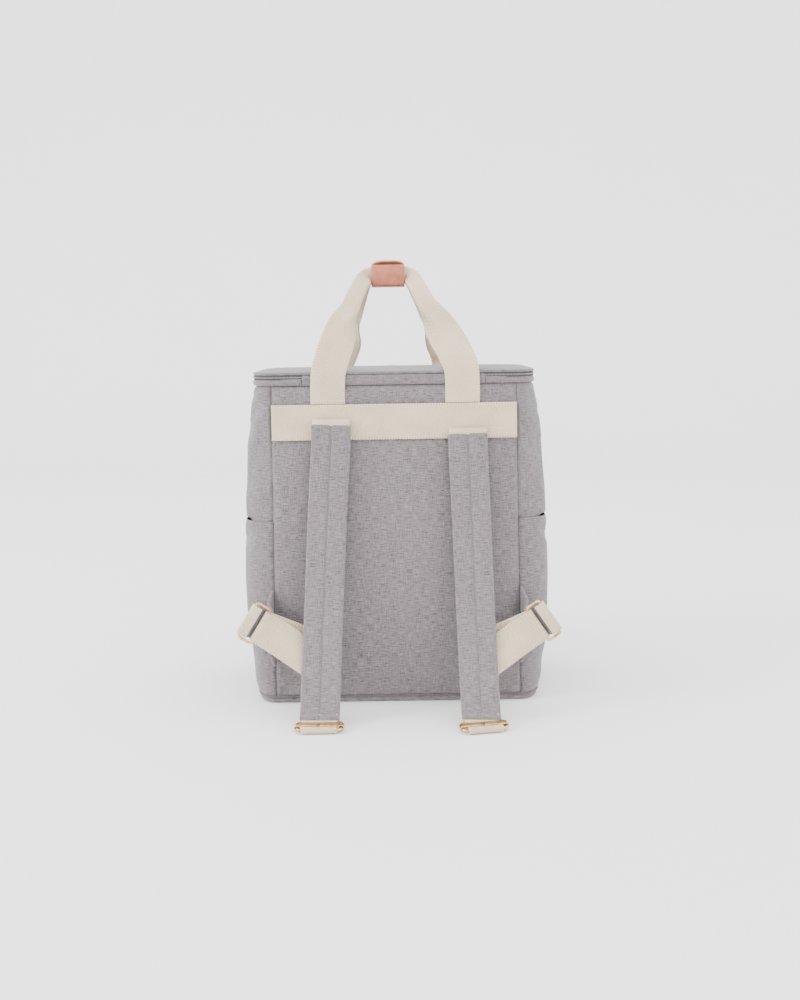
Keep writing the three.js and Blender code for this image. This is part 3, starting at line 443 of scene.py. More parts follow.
def plain_thread(name, dark, light, roughness=0.7):
    finish, tree, shader, add = start_finish(name, roughness)
    place = add("TexCoord").outputs["Object"]
    grain = stretched_noise(add, place, (1500, 1500, 1500), 3)
    tree.links.new(coloured(add, grain, dark, light, 0.3, 0.7), shader.inputs["Base Color"])
    bumped(add, tree, shader, grain, 0.5, 0.0002)
    return finish


LEATHER_FINISH = leather_finish()
BRASS = brass_finish()
# The zip tape's near-black colour is painted shade of the gap between rim and lid.
ZIP_TAPE_PAINTED_SHADE = plain_thread("zip tape painted dark", (0.030, 0.028, 0.030), (0.070, 0.065, 0.068), 0.8)
ZIP_COIL = plain_thread("zip coil", (0.16, 0.155, 0.16), (0.30, 0.29, 0.30), 0.45)
GREY_THREAD = plain_thread("grey thread", (0.08, 0.072, 0.076), (0.20, 0.182, 0.19))
CREAM_THREAD = plain_thread("cream thread", (0.40, 0.31, 0.20), (0.70, 0.60, 0.44))
print("finishes:", len(bpy.data.materials))

# %% [markdown]
# ## Soft walls
# The bag's walls are foam between two layers of cloth, sewn down at their edges. Left flat they look
# like board. A short cloth simulation lets a coarse copy of each wall swell and wrinkle while its
# seams stay pinned, and only how far each point moved is kept. That movement is then read off
# smoothly by the fine mesh, which keeps the seams as sharp as they were modelled.

# %% Let a wall settle
def read_off(field, u, v):
    """Values of a coarse grid at shares u, v of the way over it."""
    a, b = np.clip(u, 0, 1) * (field.shape[0] - 1), np.clip(v, 0, 1) * (field.shape[1] - 1)
    i, j = np.minimum(a.astype(int), field.shape[0] - 2), np.minimum(b.astype(int), field.shape[1] - 2)
    s, t = a - i, b - j
    return ((1 - s) * (1 - t) * field[i, j] + s * (1 - t) * field[i + 1, j]
            + (1 - s) * t * field[i, j + 1] + s * t * field[i + 1, j + 1])


def settled(points, slack, push, cap, seed):
    """How far, in millimetres, each point of a pinned grid moves off its face as cloth."""
    n, m = points.shape[:2]
    normal = grid_normals(points)
    rough = np.array([[noise.fractal(Vector((i * 0.11 + seed, j * 0.11, seed * 1.7)), 1.0, 2.0, 3)
                       for j in range(m)] for i in range(n)])
    rim = np.minimum.reduce([np.arange(n)[:, None] + 0 * rough, n - 1 - np.arange(n)[:, None] + 0 * rough,
                             np.arange(m)[None] + 0 * rough, m - 1 - np.arange(m)[None] + 0 * rough])
    start = points + normal * (rough * 0.8 * np.clip(rim / 3, 0, 1))[..., None]
    faces = [(i * m + j, (i + 1) * m + j, (i + 1) * m + j + 1, i * m + j + 1)
             for i in range(n - 1) for j in range(m - 1)]
    wall = made_object("settling", start.reshape(-1, 3), faces, np.zeros((n * m, 2)), HEATHER)
    held = wall.vertex_groups.new(name="seams")
    held.add([int(k) for k in np.flatnonzero(rim.ravel() < 1)], 1.0, "REPLACE")
    cloth = wall.modifiers.new("cloth", "CLOTH")
    kind = cloth.settings
    kind.quality, kind.mass, kind.air_damping = 6, 0.25, 4.0
    kind.tension_stiffness = kind.compression_stiffness = 22.0
    kind.shear_stiffness, kind.bending_stiffness = 12.0, 2.5
    kind.vertex_group_mass = "seams"
    kind.shrink_min = kind.shrink_max = -slack
    kind.use_pressure, kind.uniform_pressure_force = True, push
    kind.effector_weights.gravity = 0.0
    cloth.collision_settings.use_collision = False
    scene = bpy.context.scene
    for step in range(1, 21):
        scene.frame_set(step)
    shaped = wall.evaluated_get(bpy.context.evaluated_depsgraph_get()).to_mesh()
    moved = np.zeros(n * m * 3)
    shaped.vertices.foreach_get("co", moved)
    scene.frame_set(1)
    bpy.data.objects.remove(wall)
    off = np.sum((moved.reshape(n, m, 3) * 1000 - points) * normal, axis=-1)
    return np.clip(off, -cap, cap)


print("simulation", "on")

# %% [markdown]
# ## Repeats along a line
# Stitches and the turns of the zip's coil are one small shape repeated along a path, which is what
# Geometry Nodes do best: one tree, with named inputs for pitch and size, serves every seam. Each point
# of a path also carries the way its surface faces, so that a stitch lies down on the cloth.

# %% A node tree that repeats a shape along lines
def tree_of_repeats():
    tree = bpy.data.node_groups.new("repeat along a line", "GeometryNodeTree")
    for label, kind in (("Geometry", "Geometry"), ("Pitch", "Float"), ("Size", "Vector"), ("Uneven", "Float"),
                        ("Seed", "Int"), ("Finish", "Material")):
        tree.interface.new_socket(label, in_out="INPUT", socket_type="NodeSocket" + kind)
    tree.interface.new_socket("Geometry", in_out="OUTPUT", socket_type="NodeSocketGeometry")
    add = lambda kind: tree.nodes.new(kind)
    link = lambda a, b: tree.links.new(a, b)
    given, out = add("NodeGroupInput"), add("NodeGroupOutput")
    curve, even = add("GeometryNodeMeshToCurve"), add("GeometryNodeResampleCurve")
    even.mode = "LENGTH"
    link(given.outputs["Geometry"], curve.inputs["Mesh"])
    link(curve.outputs["Curve"], even.inputs["Curve"])
    link(given.outputs["Pitch"], even.inputs["Length"])
    shape = add("GeometryNodeMeshUVSphere")
    shape.inputs["Segments"].default_value, shape.inputs["Rings"].default_value = 6, 4
    shape.inputs["Radius"].default_value = 0.5
    facing = add("GeometryNodeInputNamedAttribute")
    facing.data_type = "FLOAT_VECTOR"
    facing.inputs["Name"].default_value = "facing"
    first, second = add("FunctionNodeAlignRotationToVector"), add("FunctionNodeAlignRotationToVector")
    first.axis, second.axis, second.pivot_axis = "X", "Z", "X"
    link(add("GeometryNodeInputTangent").outputs[0], first.inputs["Vector"])
    link(facing.outputs["Attribute"], second.inputs["Vector"])
    link(first.outputs[0], second.inputs["Rotation"])
    chance = add("FunctionNodeRandomValue")
    chance.data_type = "FLOAT"
    low, high = add("ShaderNodeMath"), add("ShaderNodeMath")
    low.operation, high.operation = "SUBTRACT", "ADD"
    low.inputs[0].default_value = high.inputs[0].default_value = 1.0
    floats = [s for s in chance.inputs if s.type == "VALUE" and s.name in ("Min", "Max")]
    for node, socket in ((low, floats[0]), (high, floats[1])):
        link(given.outputs["Uneven"], node.inputs[1])
        link(node.outputs[0], socket)
    link(given.outputs["Seed"], chance.inputs["Seed"])
    sized = add("ShaderNodeVectorMath")
    sized.operation = "SCALE"
    link(given.outputs["Size"], sized.inputs[0])
    link(next(s for s in chance.outputs if s.type == "VALUE"), sized.inputs["Scale"])
    placed, real, dressed = (add("GeometryNodeInstanceOnPoints"), add("GeometryNodeRealizeInstances"),
                             add("GeometryNodeSetMaterial"))
    link(even.outputs["Curve"], placed.inputs["Points"])
    link(shape.outputs["Mesh"], placed.inputs["Instance"])
    link(second.outputs[0], placed.inputs["Rotation"])
    link(sized.outputs[0], placed.inputs["Scale"])
    link(placed.outputs[0], real.inputs[0])
    link(real.outputs[0], dressed.inputs["Geometry"])
    link(given.outputs["Finish"], dressed.inputs["Material"])
    link(dressed.outputs[0], out.inputs[0])
    return tree


REPEATS = tree_of_repeats()
REPEAT_INPUTS = {s.name: s.identifier for s in REPEATS.interface.items_tree if s.in_out == "INPUT"}


def repeats(name, lines, pitch, size, finish, uneven=0.08, seed=1):
    """A mesh of small rounded shapes along (points, facing) lines; sizes in millimetres."""
    points, edges, ways = [], [], []
    for line, facing in lines:
        edges += [(len(points) + k, len(points) + k + 1) for k in range(len(line) - 1)]
        points += (np.asarray(line, float) / 1000).tolist()
        ways += np.broadcast_to(facing, np.shape(line)).tolist()
    mesh = bpy.data.meshes.new(name + "_lines")
    mesh.from_pydata(points, edges, [])
    mesh.attributes.new("facing", "FLOAT_VECTOR", "POINT").data.foreach_set("vector", np.ravel(ways))
    source = bpy.data.objects.new(name + "_lines", mesh)
    bpy.context.scene.collection.objects.link(source)
    modifier = source.modifiers.new("repeats", "NODES")
    modifier.node_group = REPEATS
    for label, value in (("Pitch", pitch / 1000), ("Size", [s / 1000 for s in size]), ("Uneven", uneven),
                         ("Seed", seed), ("Finish", finish)):
        modifier[REPEAT_INPUTS[label]] = value
    shown = source.evaluated_get(bpy.context.evaluated_depsgraph_get())
    made = bpy.data.objects.new(name, bpy.data.meshes.new_from_object(shown))
    made.data.name = name
    bpy.context.scene.collection.objects.link(made)
    source.modifiers.remove(modifier)
    bpy.data.objects.remove(source)
    made.data.polygons.foreach_set("use_smooth", [True] * len(made.data.polygons))
    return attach(made, "root")


print("inputs of the tree:", sorted(REPEAT_INPUTS))

# %% [markdown]
# ## Back and front panels
# Each panel is a tall pad sewn in between the two gussets. It stands out a few millimetres in its
# middle and rolls in at its seams, so a dark line shows where two pads meet. The back one is held
# down where the webbing band is sewn over it. The points crowd towards
# the edges, because that roll is only a couple of millimetres wide.

# %% Build the panels
def fine(length, pitch=3.6):
    """Shares of a length with extra points near both ends, where cloth rolls into a seam."""
    near = [0, 0.6, 1.2, 1.9, 2.8, 4.0, 5.6, 7.6]
    middle = np.linspace(10.5, length - 10.5, int(length / pitch))
    return np.concatenate([near, middle, [length - d for d in near[::-1]]]) / length


def seam_roll(distance, depth=2.1, reach=2.2):
    return depth * np.exp(-(distance / reach) ** 2)


def wear(piece, node):
    """The piece takes over from its CAD solid."""
    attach(piece, "root")
    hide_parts(node)
    return piece


def heather_wall(label, what, points, wall, away):
    """A sheet of heather cloth that takes over from the CAD wall of the same name."""
    piece = sheet(f"{label}_{what}_cloth", points, wall, HEATHER, away)
    return wear(piece, f"{label}_{what}")


def panel_points(end, u, v):
    seam = body_at(v)[2]
    x = (2 * u - 1) * (seam - GAP / 2)
    return np.stack([x, end * panel_stand(x, v), body_at(v)[3] + 0 * x], axis=-1)


# Height of the band's middle, how far from it the panel is held down, and over how much that fades
HELD_MIDDLE, HELD_REACH, HELD_FADE = 322, 25, 4
for label, end in (("back", -1), ("front", 1)):
    coarse = np.meshgrid(np.linspace(0, 1, 52), np.linspace(0, 1, 66), indexing="ij")
    away = np.array([0.0, end, 0.0])
    swell = settled(panel_points(end, *coarse)[::-end], 0.012, 1.2, 2.4, 3 + end)[::-end]
    u, v = np.meshgrid(fine(280), fine(WALL_HEIGHT), indexing="ij")
    points = panel_points(end, u, v)
    off = read_off(swell, u, v)
    if label == "back":
        held = np.clip((HELD_REACH - np.abs(body_at(v)[3] - HELD_MIDDLE)) / HELD_FADE, 0, 1)
        off = off - held * np.maximum(off, 0)
    edge = np.minimum.reduce([u * 280, (1 - u) * 280, v * WALL_HEIGHT, (1 - v) * WALL_HEIGHT])
    points[..., 1] += end * (off - seam_roll(edge))
    piece = heather_wall(label, "panel", points, WALL, away)
    print(piece.name, len(piece.data.polygons), "faces, cloth moved",
          np.round([off.min(), off.max()], 1), "mm")

# %% [markdown]
# ## Gussets
# A gusset is one strip of padded cloth that goes round a side from seam to seam, over both corners.
# The lower part lies a little further in, because a pocket covers it. The folds near the seams are
# where the strip has been squeezed by the straps' tabs.

# %% Build the gussets
HEM_RISE, HEM_BLEND = 204 / WALL_HEIGHT, 4 / WALL_HEIGHT
POCKET_WALL, POCKET_ROOM, POCKET_PROUD, POCKET_CLOTH = 1.6, 2.5, 1.2, 1.2
# where a fold lies, round the side and up it, how far it reaches and how high it stands in millimetres
FOLDS = {
    "left": [(0.10, 0.66, 0.07, 0.035, 2.7), (0.13, 0.57, 0.10, 0.040, -2.1), (0.20, 0.13, 0.10, 0.060, -2.1),
             (0.06, 0.73, 0.05, 0.020, -1.6), (0.16, 0.83, 0.09, 0.050, 1.2), (0.30, 0.70, 0.12, 0.05, -1.4)],
    "right": [(0.12, 0.09, 0.08, 0.050, -3.0), (0.24, 0.16, 0.09, 0.050, 1.8),
              (0.10, 0.125, 0.07, 0.016, 1.5),
              (0.16, 0.155, 0.06, 0.014, -1.3), (0.13, 0.72, 0.10, 0.05, -1.4),
              (0.18, 0.86, 0.08, 0.05, 1.2)],
}


def smooth(x, low, high):
    t = np.clip((x - low) / (high - low), 0, 1)
    return t * t * (3 - 2 * t)


def fold_height(label, round_, rise):
    return sum(height * np.exp(-((round_ - a) / da) ** 2 - ((rise - b) / db) ** 2)
               for a, b, da, db, height in FOLDS[label])


def pocket_ease(round_, rise):
    near = np.minimum(round_, 1 - round_)
    return smooth(near, CORNER_SHARE * 0.3, CORNER_SHARE) * smooth(rise, 0, HEM_RISE * 0.5)


GUSSET_LENGTH = 224
for label, sign in (("left", -1), ("right", 1)):
    coarse = np.meshgrid(np.linspace(0, 1, 44), np.linspace(0, 1, 66), indexing="ij")
    swell = settled(gusset_point(sign, *coarse, 0)[::sign], 0.016, 1.2, 2.2, 5 + sign)[::sign]
    u, v = np.meshgrid(fine(GUSSET_LENGTH), np.sort(np.concatenate([fine(WALL_HEIGHT), HEM_RISE + HEM_BLEND
                                            * np.array([-0.1, 0.3, 0.6, 0.9])])), indexing="ij")
    above = smooth(v, HEM_RISE, HEM_RISE + HEM_BLEND)
    inset = (POCKET_WALL + GAP + POCKET_ROOM * pocket_ease(u, v)) * (1 - above)
    edge = np.minimum.reduce([u * GUSSET_LENGTH, (1 - u) * GUSSET_LENGTH,
                              v * WALL_HEIGHT, (1 - v) * WALL_HEIGHT])
    off = above * (read_off(swell, u, v) + fold_height(label, u, v)) - seam_roll(edge)
    points = gusset_point(sign, u, v, inset - off)
    away = np.stack([sign * (1 + 0 * u), 0 * u, 0 * u], axis=-1)
    piece = heather_wall(label, "gusset", points, WALL, away)
    print(piece.name, len(piece.data.polygons), "faces")

# %% [markdown]
# ## Side pockets
# A pocket is a single layer of the same cloth, caught in both seams and in the base, with a turned hem
# at its mouth. It has a little more room than the wall behind it, so it stands off at the side and
# sags softly. The hem is thicker and keeps its line, and its stitches come later.

# %% Build the pockets
for label, sign in (("left", -1), ("right", 1)):
    coarse = np.meshgrid(np.linspace(0, 1, 44), np.linspace(0, HEM_RISE, 38), indexing="ij")
    swell = settled(gusset_point(sign, *coarse, 0)[::sign], 0.020, 0.9, 1.7, 9 + sign)[::sign]
    u, v = np.meshgrid(fine(GUSSET_LENGTH), fine(204) * HEM_RISE, indexing="ij")
    fold = fold_height(label, u, v) * (1 - smooth(v, HEM_RISE * 0.8, HEM_RISE))
    down = (HEM_RISE - v) * WALL_HEIGHT
    hem = 0.5 * (1 - smooth(down, 8.5, 10.5)) - seam_roll(down - 9.2, 0.5, 1.0)
    sides = np.minimum.reduce([u * GUSSET_LENGTH, (1 - u) * GUSSET_LENGTH, v * WALL_HEIGHT])
    ease = pocket_ease(u, v)
    off = ease * (POCKET_PROUD + read_off(swell, u, v / HEM_RISE)) + fold * (0.35 + 0.65 * ease) + hem
    points = gusset_point(sign, u, v, seam_roll(sides, 1.8) - off)
    away = np.stack([sign * (1 + 0 * u), 0 * u, 0 * u], axis=-1)
    piece = heather_wall(label, "pocket", points, POCKET_CLOTH, away)
    width = walked(points, 0)[-1] / 1000
    print(piece.name, "cut", round(width, 3), "x 0.206 m")

# %% [markdown]
# ## Outlines seen from above
# Base, piping, rim, zip and lid all follow the bag's plan. One function walks that outline, from the
# right end of the hinge round the front to its left end, or all the way round.

# %% The plan outline
HINGE_WIDTH, RIM_OVERHANG = 202.0, 1.0


def plan(rise, inset, height, whole, steps=30):
    """Points of the outline and the way it faces at each."""
    round_ = np.linspace(0, 1, 2 * steps + 1)
    y = float(body_at(rise)[1]) - inset
    right = gusset_point(1, round_, rise, inset)
    left = gusset_point(-1, round_, rise, inset)[::-1]
    level = lambda xs, depth: np.stack([xs, depth + 0 * xs, 0 * xs], axis=-1)
    parts = [level(np.linspace(HINGE_WIDTH / 2, 130, 8), -y), right, level(np.linspace(125, -125, 26), y),
             left, level(np.linspace(-130, -HINGE_WIDTH / 2, 8), -y)]
    if whole:
        parts.append(level(np.linspace(-95, 95, 20), -y))
    path = np.concatenate(parts)
    path[:, 2] = height
    ahead = np.roll(path, -1, axis=0) - np.roll(path, 1, axis=0) if whole else np.gradient(path, axis=0)
    out = unit(np.cross(ahead, [0, 0, 1.0]))
    return path, out


def stack(name, loops, finish):
    """A closed solid through whole outlines, from its underside to its top, with a flat cloth map."""
    points = np.concatenate(loops)
    n, m = len(loops), len(loops[0])
    faces = [(i * m + k, i * m + (k + 1) % m, (i + 1) * m + (k + 1) % m, (i + 1) * m + k)
             for i in range(n - 1) for k in range(m)]
    faces += [tuple(range(m)), tuple(reversed(range((n - 1) * m, n * m)))]
    uv = np.stack([points[:, 0] + points[:, 2], points[:, 1] + points[:, 2]], axis=-1)
    return turn_outwards(made_object(name, points, faces, uv, finish))


print("outline", len(plan(1, 0, 0, True)[0]), "points")

# %% [markdown]
# ## Base and its piping
# The base is a stiffened pad whose lower edge is rounded by standing on the floor. Where it meets the
# walls, a thin piped cord of the same cloth covers the seam; its cloth is painted darker, as painted
# shade in the seam, so it reads as a dark line all the way round.

# %% Build the base
BASE_LEVELS = [(0.0, 5.0), (0.35, 3.6), (1.0, 2.6), (2.0, 2.0), (3.6, 1.3),
               (5.2, 1.2), (6.6, 1.7), (7.3, 3.0)]
loops = [plan(0, inset, height, True)[0] for height, inset in BASE_LEVELS]
base = wear(stack("base_cloth", loops, HEATHER), "base_panel")
path, out = plan(0, 0.6, 7.9, True)
circle = [(1.15 * math.cos(k * math.pi / 5), 1.15 * math.sin(k * math.pi / 5)) for k in range(10)]
# The piping's darker colour is painted shade where base and walls meet.
piping = sweep("base_piping", path, np.broadcast_to([0, 0, 1.0], path.shape), out, circle, PIPING_PAINTED_SHADE,
               looped=True, side=[3.0 * k for k in range(10)])
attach(piping, "root")
print("base", len(base.data.polygons), "faces")

# %% [markdown]
# ## Rim, hinge and lid
# Above the walls a narrow padded rim carries the zip, and the lid closes on it. The rim is a rounded
# band, and it stops at the hinge, a flat piece of cloth that lets the lid swing. The lid is a thin pad
# with a low crown and a rolled edge.

# %% Build the rim, the hinge and the lid
RIM_BOTTOM, ZIP_BOTTOM, LID_BOTTOM = 362.35, 369.5, 373.85
RIM_PROFILE = [(-3.3, -6.0), (-3.3, -1.4), (-2.8, -0.5), (-1.5, 0.15), (0, 0.35), (1.5, 0.15), (2.8, -0.5),
               (3.3, -1.4), (3.3, -6.0)]
path, out = plan(1, -RIM_OVERHANG, RIM_BOTTOM + 3.4, False)
upright = np.broadcast_to([0, 0, 1.0], path.shape)
rim = sweep("rim_cloth", path, upright, out, RIM_PROFILE, HEATHER)
wear(rim, "rim_band")

u, v = np.meshgrid(fine(201, 5), np.linspace(0, 1, 25), indexing="ij")
height = RIM_BOTTOM + v * 11.15
waist = 0.5 * np.sin(np.pi * v) + 0.9 * (np.exp(-((v - 0) / 0.09) ** 2) + np.exp(-((v - 1) / 0.09) ** 2)) * -1
stand = float(body_at(1)[1]) + RIM_OVERHANG + waist - seam_roll(np.minimum(u, 1 - u) * 201, 0.9, 1.2)
points = np.stack([(2 * u - 1) * 100.6, -stand, height], axis=-1)
hinge = sheet("hinge_cloth", points, WALL, HEATHER, np.array([0, -1.0, 0]))
wear(hinge, "hinge_band")

LID_LEVELS = [(0.0, 2.2), (0.25, 0.8), (0.9, 0.1), (1.7, -0.1), (2.5, 0.1), (3.1, 0.8),
              (3.4, 1.9), (3.2, 2.8), (3.5, 4.2), (3.8, 7.0)]
loops = [plan(1, inset - RIM_OVERHANG, LID_BOTTOM + height, True)[0] for height, inset in LID_LEVELS]
for share in (0.92, 0.84, 0.75, 0.65, 0.54, 0.42, 0.3, 0.18, 0.08):
    ring = loops[-1] * [share, share, 1]
    ring[:, 2] = LID_BOTTOM + 3.8 + 3.4 * (1 - (share / 0.97) ** 2)
    ring[:, 2] += [0.5 * noise.fractal(Vector((x * 0.02, y * 0.02, 2.0)), 1.0, 2.0, 3) for x, y, _ in ring]
    loops.append(ring)
lid = wear(stack("lid_cloth", loops, HEATHER), "lid_panel")
print("rim, hinge and lid up to", round(max(v.co.z for v in lid.data.vertices), 4), "m")

# %% [markdown]
# ## Zip
# The zip lies sunk between rim and lid: a tape painted dark as painted shade in that gap, with a coil
# of small nylon turns along its middle.
# From the back only its two ends show, over the rear corners. The coil is the repeat tree at work: each
# turn is a small upright bead, one and a half millimetres from the next.

# %% Build the zip
path, out = plan(1, 0.4 - RIM_OVERHANG, ZIP_BOTTOM + 2.0, False)
TAPE_PROFILE = [(-1.95, -2.8), (-1.95, -0.2), (-1.2, 0.0), (-0.8, -0.5), (0.8, -0.5), (1.2, 0.0),
                (1.95, -0.2), (1.95, -2.8)]
# The tape's dark colour is painted shade in the gap between rim and lid.
wear(sweep("zip_tape", path, upright, out, TAPE_PROFILE, ZIP_TAPE_PAINTED_SHADE), "zip_chain")
coil = repeats("zip_coil", [(path - 0.25 * out, out)], 1.5, (1.0, 2.0, 1.1), ZIP_COIL, 0.04, 4)
slider = []
for half, height, out_by in ((2.2, 373.2, 0.0), (4.2, 373.0, 0.9), (4.4, 371.2, 1.5), (4.0, 369.6, 1.1),
                             (2.6, 368.6, 0.6), (2.4, 366.0, 0.9), (2.8, 356.0, 1.0), (2.8, 350.0, 0.9),
                             (2.2, 347.6, 0.7), (1.0, 346.6, 0.5)):
    slider.append((half, height, out_by))
stand = float(panel_stand(0, 1)) + RIM_OVERHANG + 0.4
middles = [(0, stand + 0.4 + by / 2, z) for _, z, by in slider]
rings = [[(half * math.cos(t), (0.4 + by / 2) * math.sin(t)) for t in np.linspace(0, 2 * np.pi, 17)[:-1]]
         for half, _, by in slider]
flat = np.broadcast_to([1.0, 0, 0], (len(slider), 3))
pull = sweep("zip_pull", middles, flat, np.broadcast_to([0, 1.0, 0], (len(slider), 3)), rings, BRASS)
wear(pull, "zip_slider")
print("zip coil", len(coil.data.polygons), "faces")

# %% [markdown]
# ## Webbing band
# A strip of cotton webbing is sewn across the back panel, over the legs of the carry handle and under
# the tops of the shoulder straps. It follows the panel's bulge and lies a hair proud of it, with
# thicker selvedges, which is what makes webbing look woven and not cut.

# %% Build the band
BAND_TOP, BAND_BOTTOM, WEB = 341.5, 302.5, 1.9


def back_face(x, height):
    """The Y of the back panel's cloth."""
    rise = rise_of(height)
    return -panel_stand(np.asarray(x, float), rise)


x = np.linspace(-135.2, 135.2, 110)
middle_height = (BAND_TOP + BAND_BOTTOM) / 2
middles = np.stack([x, back_face(x, middle_height) - GAP - WEB / 2 - 0.25
                    - 0.35 * np.sin(x * 0.11) * np.sin(x * 0.037 + 1), middle_height + 0 * x], axis=-1)
run = unit(np.gradient(middles, axis=0))
face = unit(np.cross(run, [0, 0, 1.0]))
ring = strip_ring(19.5, WEB, 14, 0.22)
slope = float(back_face(0, BAND_TOP) - back_face(0, BAND_BOTTOM)) / (BAND_TOP - BAND_BOTTOM)
across = np.broadcast_to(unit([0, slope, 1.0]), middles.shape)
wear(sweep("band_webbing", middles, across, face, ring, COTTON), "webbing_band")
print("band", round(x[-1] - x[0]), "mm long")

# %% [markdown]
# ## Carry handles
# Each handle is one length of webbing. It rises flat from its legs, folds in half lengthwise on its way
# up, and both folded handles run side by side through the wrap. The cross-section is worked out along
# the strip: its middle bends round a small radius by the table's share of a half turn, so that the
# strip keeps its real width wherever it folds.

# %% Build the handles
HANDLE_SPAN, HANDLE_RISE, FOLD_RADIUS, HANDLE_GAP = 148.0, 486.0, 2.3, 2.0
LID_TOP = 377.25
LEG_STAND = float(body_at(1)[1]) + RIM_OVERHANG + GAP + WEB / 2 + PANEL_BULGE / 8
PINCH_STAND = (HANDLE_GAP + 2 * FOLD_RADIUS + WEB) / 2
# x in half spans, rise (below 0 down the leg, above 0 up to the wrap), stand and fold as shares
BACK_HANDLE = [
    (-0.981, -1.00, 1.00, 0.00), (-0.978, -0.44, 1.00, 0.00), (-0.960, 0.00, 1.00, 0.00),
    (-0.905, 0.13, 0.98, 0.00), (-0.820, 0.30, 0.92, 0.05), (-0.745, 0.44, 0.80, 0.22),
    (-0.675, 0.56, 0.67, 0.45), (-0.590, 0.71, 0.48, 0.74), (-0.515, 0.835, 0.32, 0.92),
    (-0.455, 0.92, 0.16, 0.98), (-0.420, 0.950, 0.05, 1.00), (-0.372, 0.975, 0.00, 1.00),
    (-0.060, 1.00, 0.00, 1.00), (0.230, 0.980, 0.00, 1.00), (0.290, 0.955, 0.05, 1.00),
    (0.335, 0.915, 0.16, 0.97), (0.430, 0.78, 0.38, 0.80), (0.540, 0.63, 0.55, 0.52),
    (0.665, 0.47, 0.70, 0.24), (0.790, 0.33, 0.83, 0.05), (0.920, 0.17, 0.95, 0.00),
    (1.000, 0.03, 1.00, 0.00), (1.020, -0.44, 1.00, 0.00), (1.020, -1.00, 1.00, 0.00)]
FRONT_HANDLE = [
    (-0.955, -1.00, 1.00, 0.00), (-0.955, -0.40, 1.00, 0.00), (-0.945, 0.02, 1.00, 0.00),
    (-0.925, 0.06, 1.00, 0.00), (-0.875, 0.13, 0.96, 0.00), (-0.795, 0.26, 0.86, 0.05),
    (-0.725, 0.42, 0.70, 0.28), (-0.645, 0.57, 0.53, 0.55), (-0.560, 0.73, 0.37, 0.82),
    (-0.460, 0.915, 0.16, 0.98), (-0.420, 0.950, 0.05, 1.00), (-0.372, 0.975, 0.00, 1.00),
    (-0.060, 1.00, 0.00, 1.00), (0.230, 0.980, 0.00, 1.00), (0.290, 0.955, 0.05, 1.00),
    (0.335, 0.915, 0.16, 0.98), (0.470, 0.73, 0.37, 0.82), (0.580, 0.57, 0.53, 0.55),
    (0.690, 0.42, 0.70, 0.28), (0.790, 0.26, 0.86, 0.05), (0.870, 0.13, 0.96, 0.00),
    (0.895, 0.06, 1.00, 0.00), (0.902, 0.02, 1.00, 0.00), (0.905, -0.40, 1.00, 0.00),
    (0.905, -1.00, 1.00, 0.00)]


def folded_ring(fold, half=19.0):
    """Both faces of the strip, folded about its middle, as (across, face), and each point's U."""
    bend = FOLD_RADIUS * math.pi / 2
    flat = np.unique(np.concatenate([np.linspace(-half, -bend, 10), np.linspace(-bend, bend, 9),
                                     np.linspace(bend, half, 10)]))
    heading = -fold * math.pi * np.clip((flat + bend) / (2 * bend), 0, 1)
    turn = (heading[1:] + heading[:-1]) / 2
    a = np.concatenate([[0], np.cumsum(np.diff(flat) * np.cos(turn))])
    f = np.concatenate([[0], np.cumsum(np.diff(flat) * np.sin(turn))])
    lip = np.clip((half - np.abs(flat)) / 0.8, 0, 1) ** 0.5 * 0.5 + 0.5
    one, other = [(a - s * lip * WEB / 2 * np.sin(heading), f + s * lip * WEB / 2 * np.cos(heading))
                  for s in (1, -1)]
    ring = np.concatenate([np.stack(one, axis=-1), np.stack(other, axis=-1)[::-1]])
    return ring - (ring.max(axis=0) + ring.min(axis=0)) / 2, np.concatenate([flat, flat[::-1]])


def handle_places(table, end, leg_bottom):
    x, rise, stand, _ = np.array(table).T
    height = np.where(rise < 0, LID_TOP + (LID_TOP - leg_bottom) * rise,
                      LID_TOP + (HANDLE_RISE - LID_TOP) * rise)
    out = end * (PINCH_STAND + (LEG_STAND - PINCH_STAND) * stand)
    return np.stack([x * HANDLE_SPAN / 2, out, height], axis=-1)


for label, table, end, leg_bottom in (("back", BACK_HANDLE, -1, BAND_TOP + GAP),
                                      ("front", FRONT_HANDLE, 1, LID_TOP - 43)):
    places = handle_places(table, end, leg_bottom)
    shares = np.linspace(0, 1, (len(table) - 1) * 7 + 1)
    middles = curve_through(places, shares)
    middles[:, 1] = end * np.maximum(end * middles[:, 1], PINCH_STAND)
    run = unit(np.gradient(middles, axis=0))
    face = squared(np.broadcast_to([0, float(end), 0], run.shape), run)
    across = -end * np.cross(run, face)
    folds = np.interp(shares * (len(table) - 1), range(len(table)), [row[3] for row in table])
    rings = [folded_ring(fold) for fold in folds]
    piece = sweep(label + "_handle_webbing", middles, across, face, [r[0] for r in rings],
                  COTTON if end < 0 else COTTON_BACK, side=[r[1] for r in rings])
    wear(piece, label + "_handle")
    print(piece.name, round(sum(np.linalg.norm(np.diff(middles, axis=0), axis=1))), "mm long")

# %% [markdown]
# ## Leather wrap
# A strip of tan leather goes under both handles and up in front of them, and ends in a rounded flap
# that leans back over them. It is thick enough to show its cut edge, and it is bent, so it bellies
# a little between its ends.

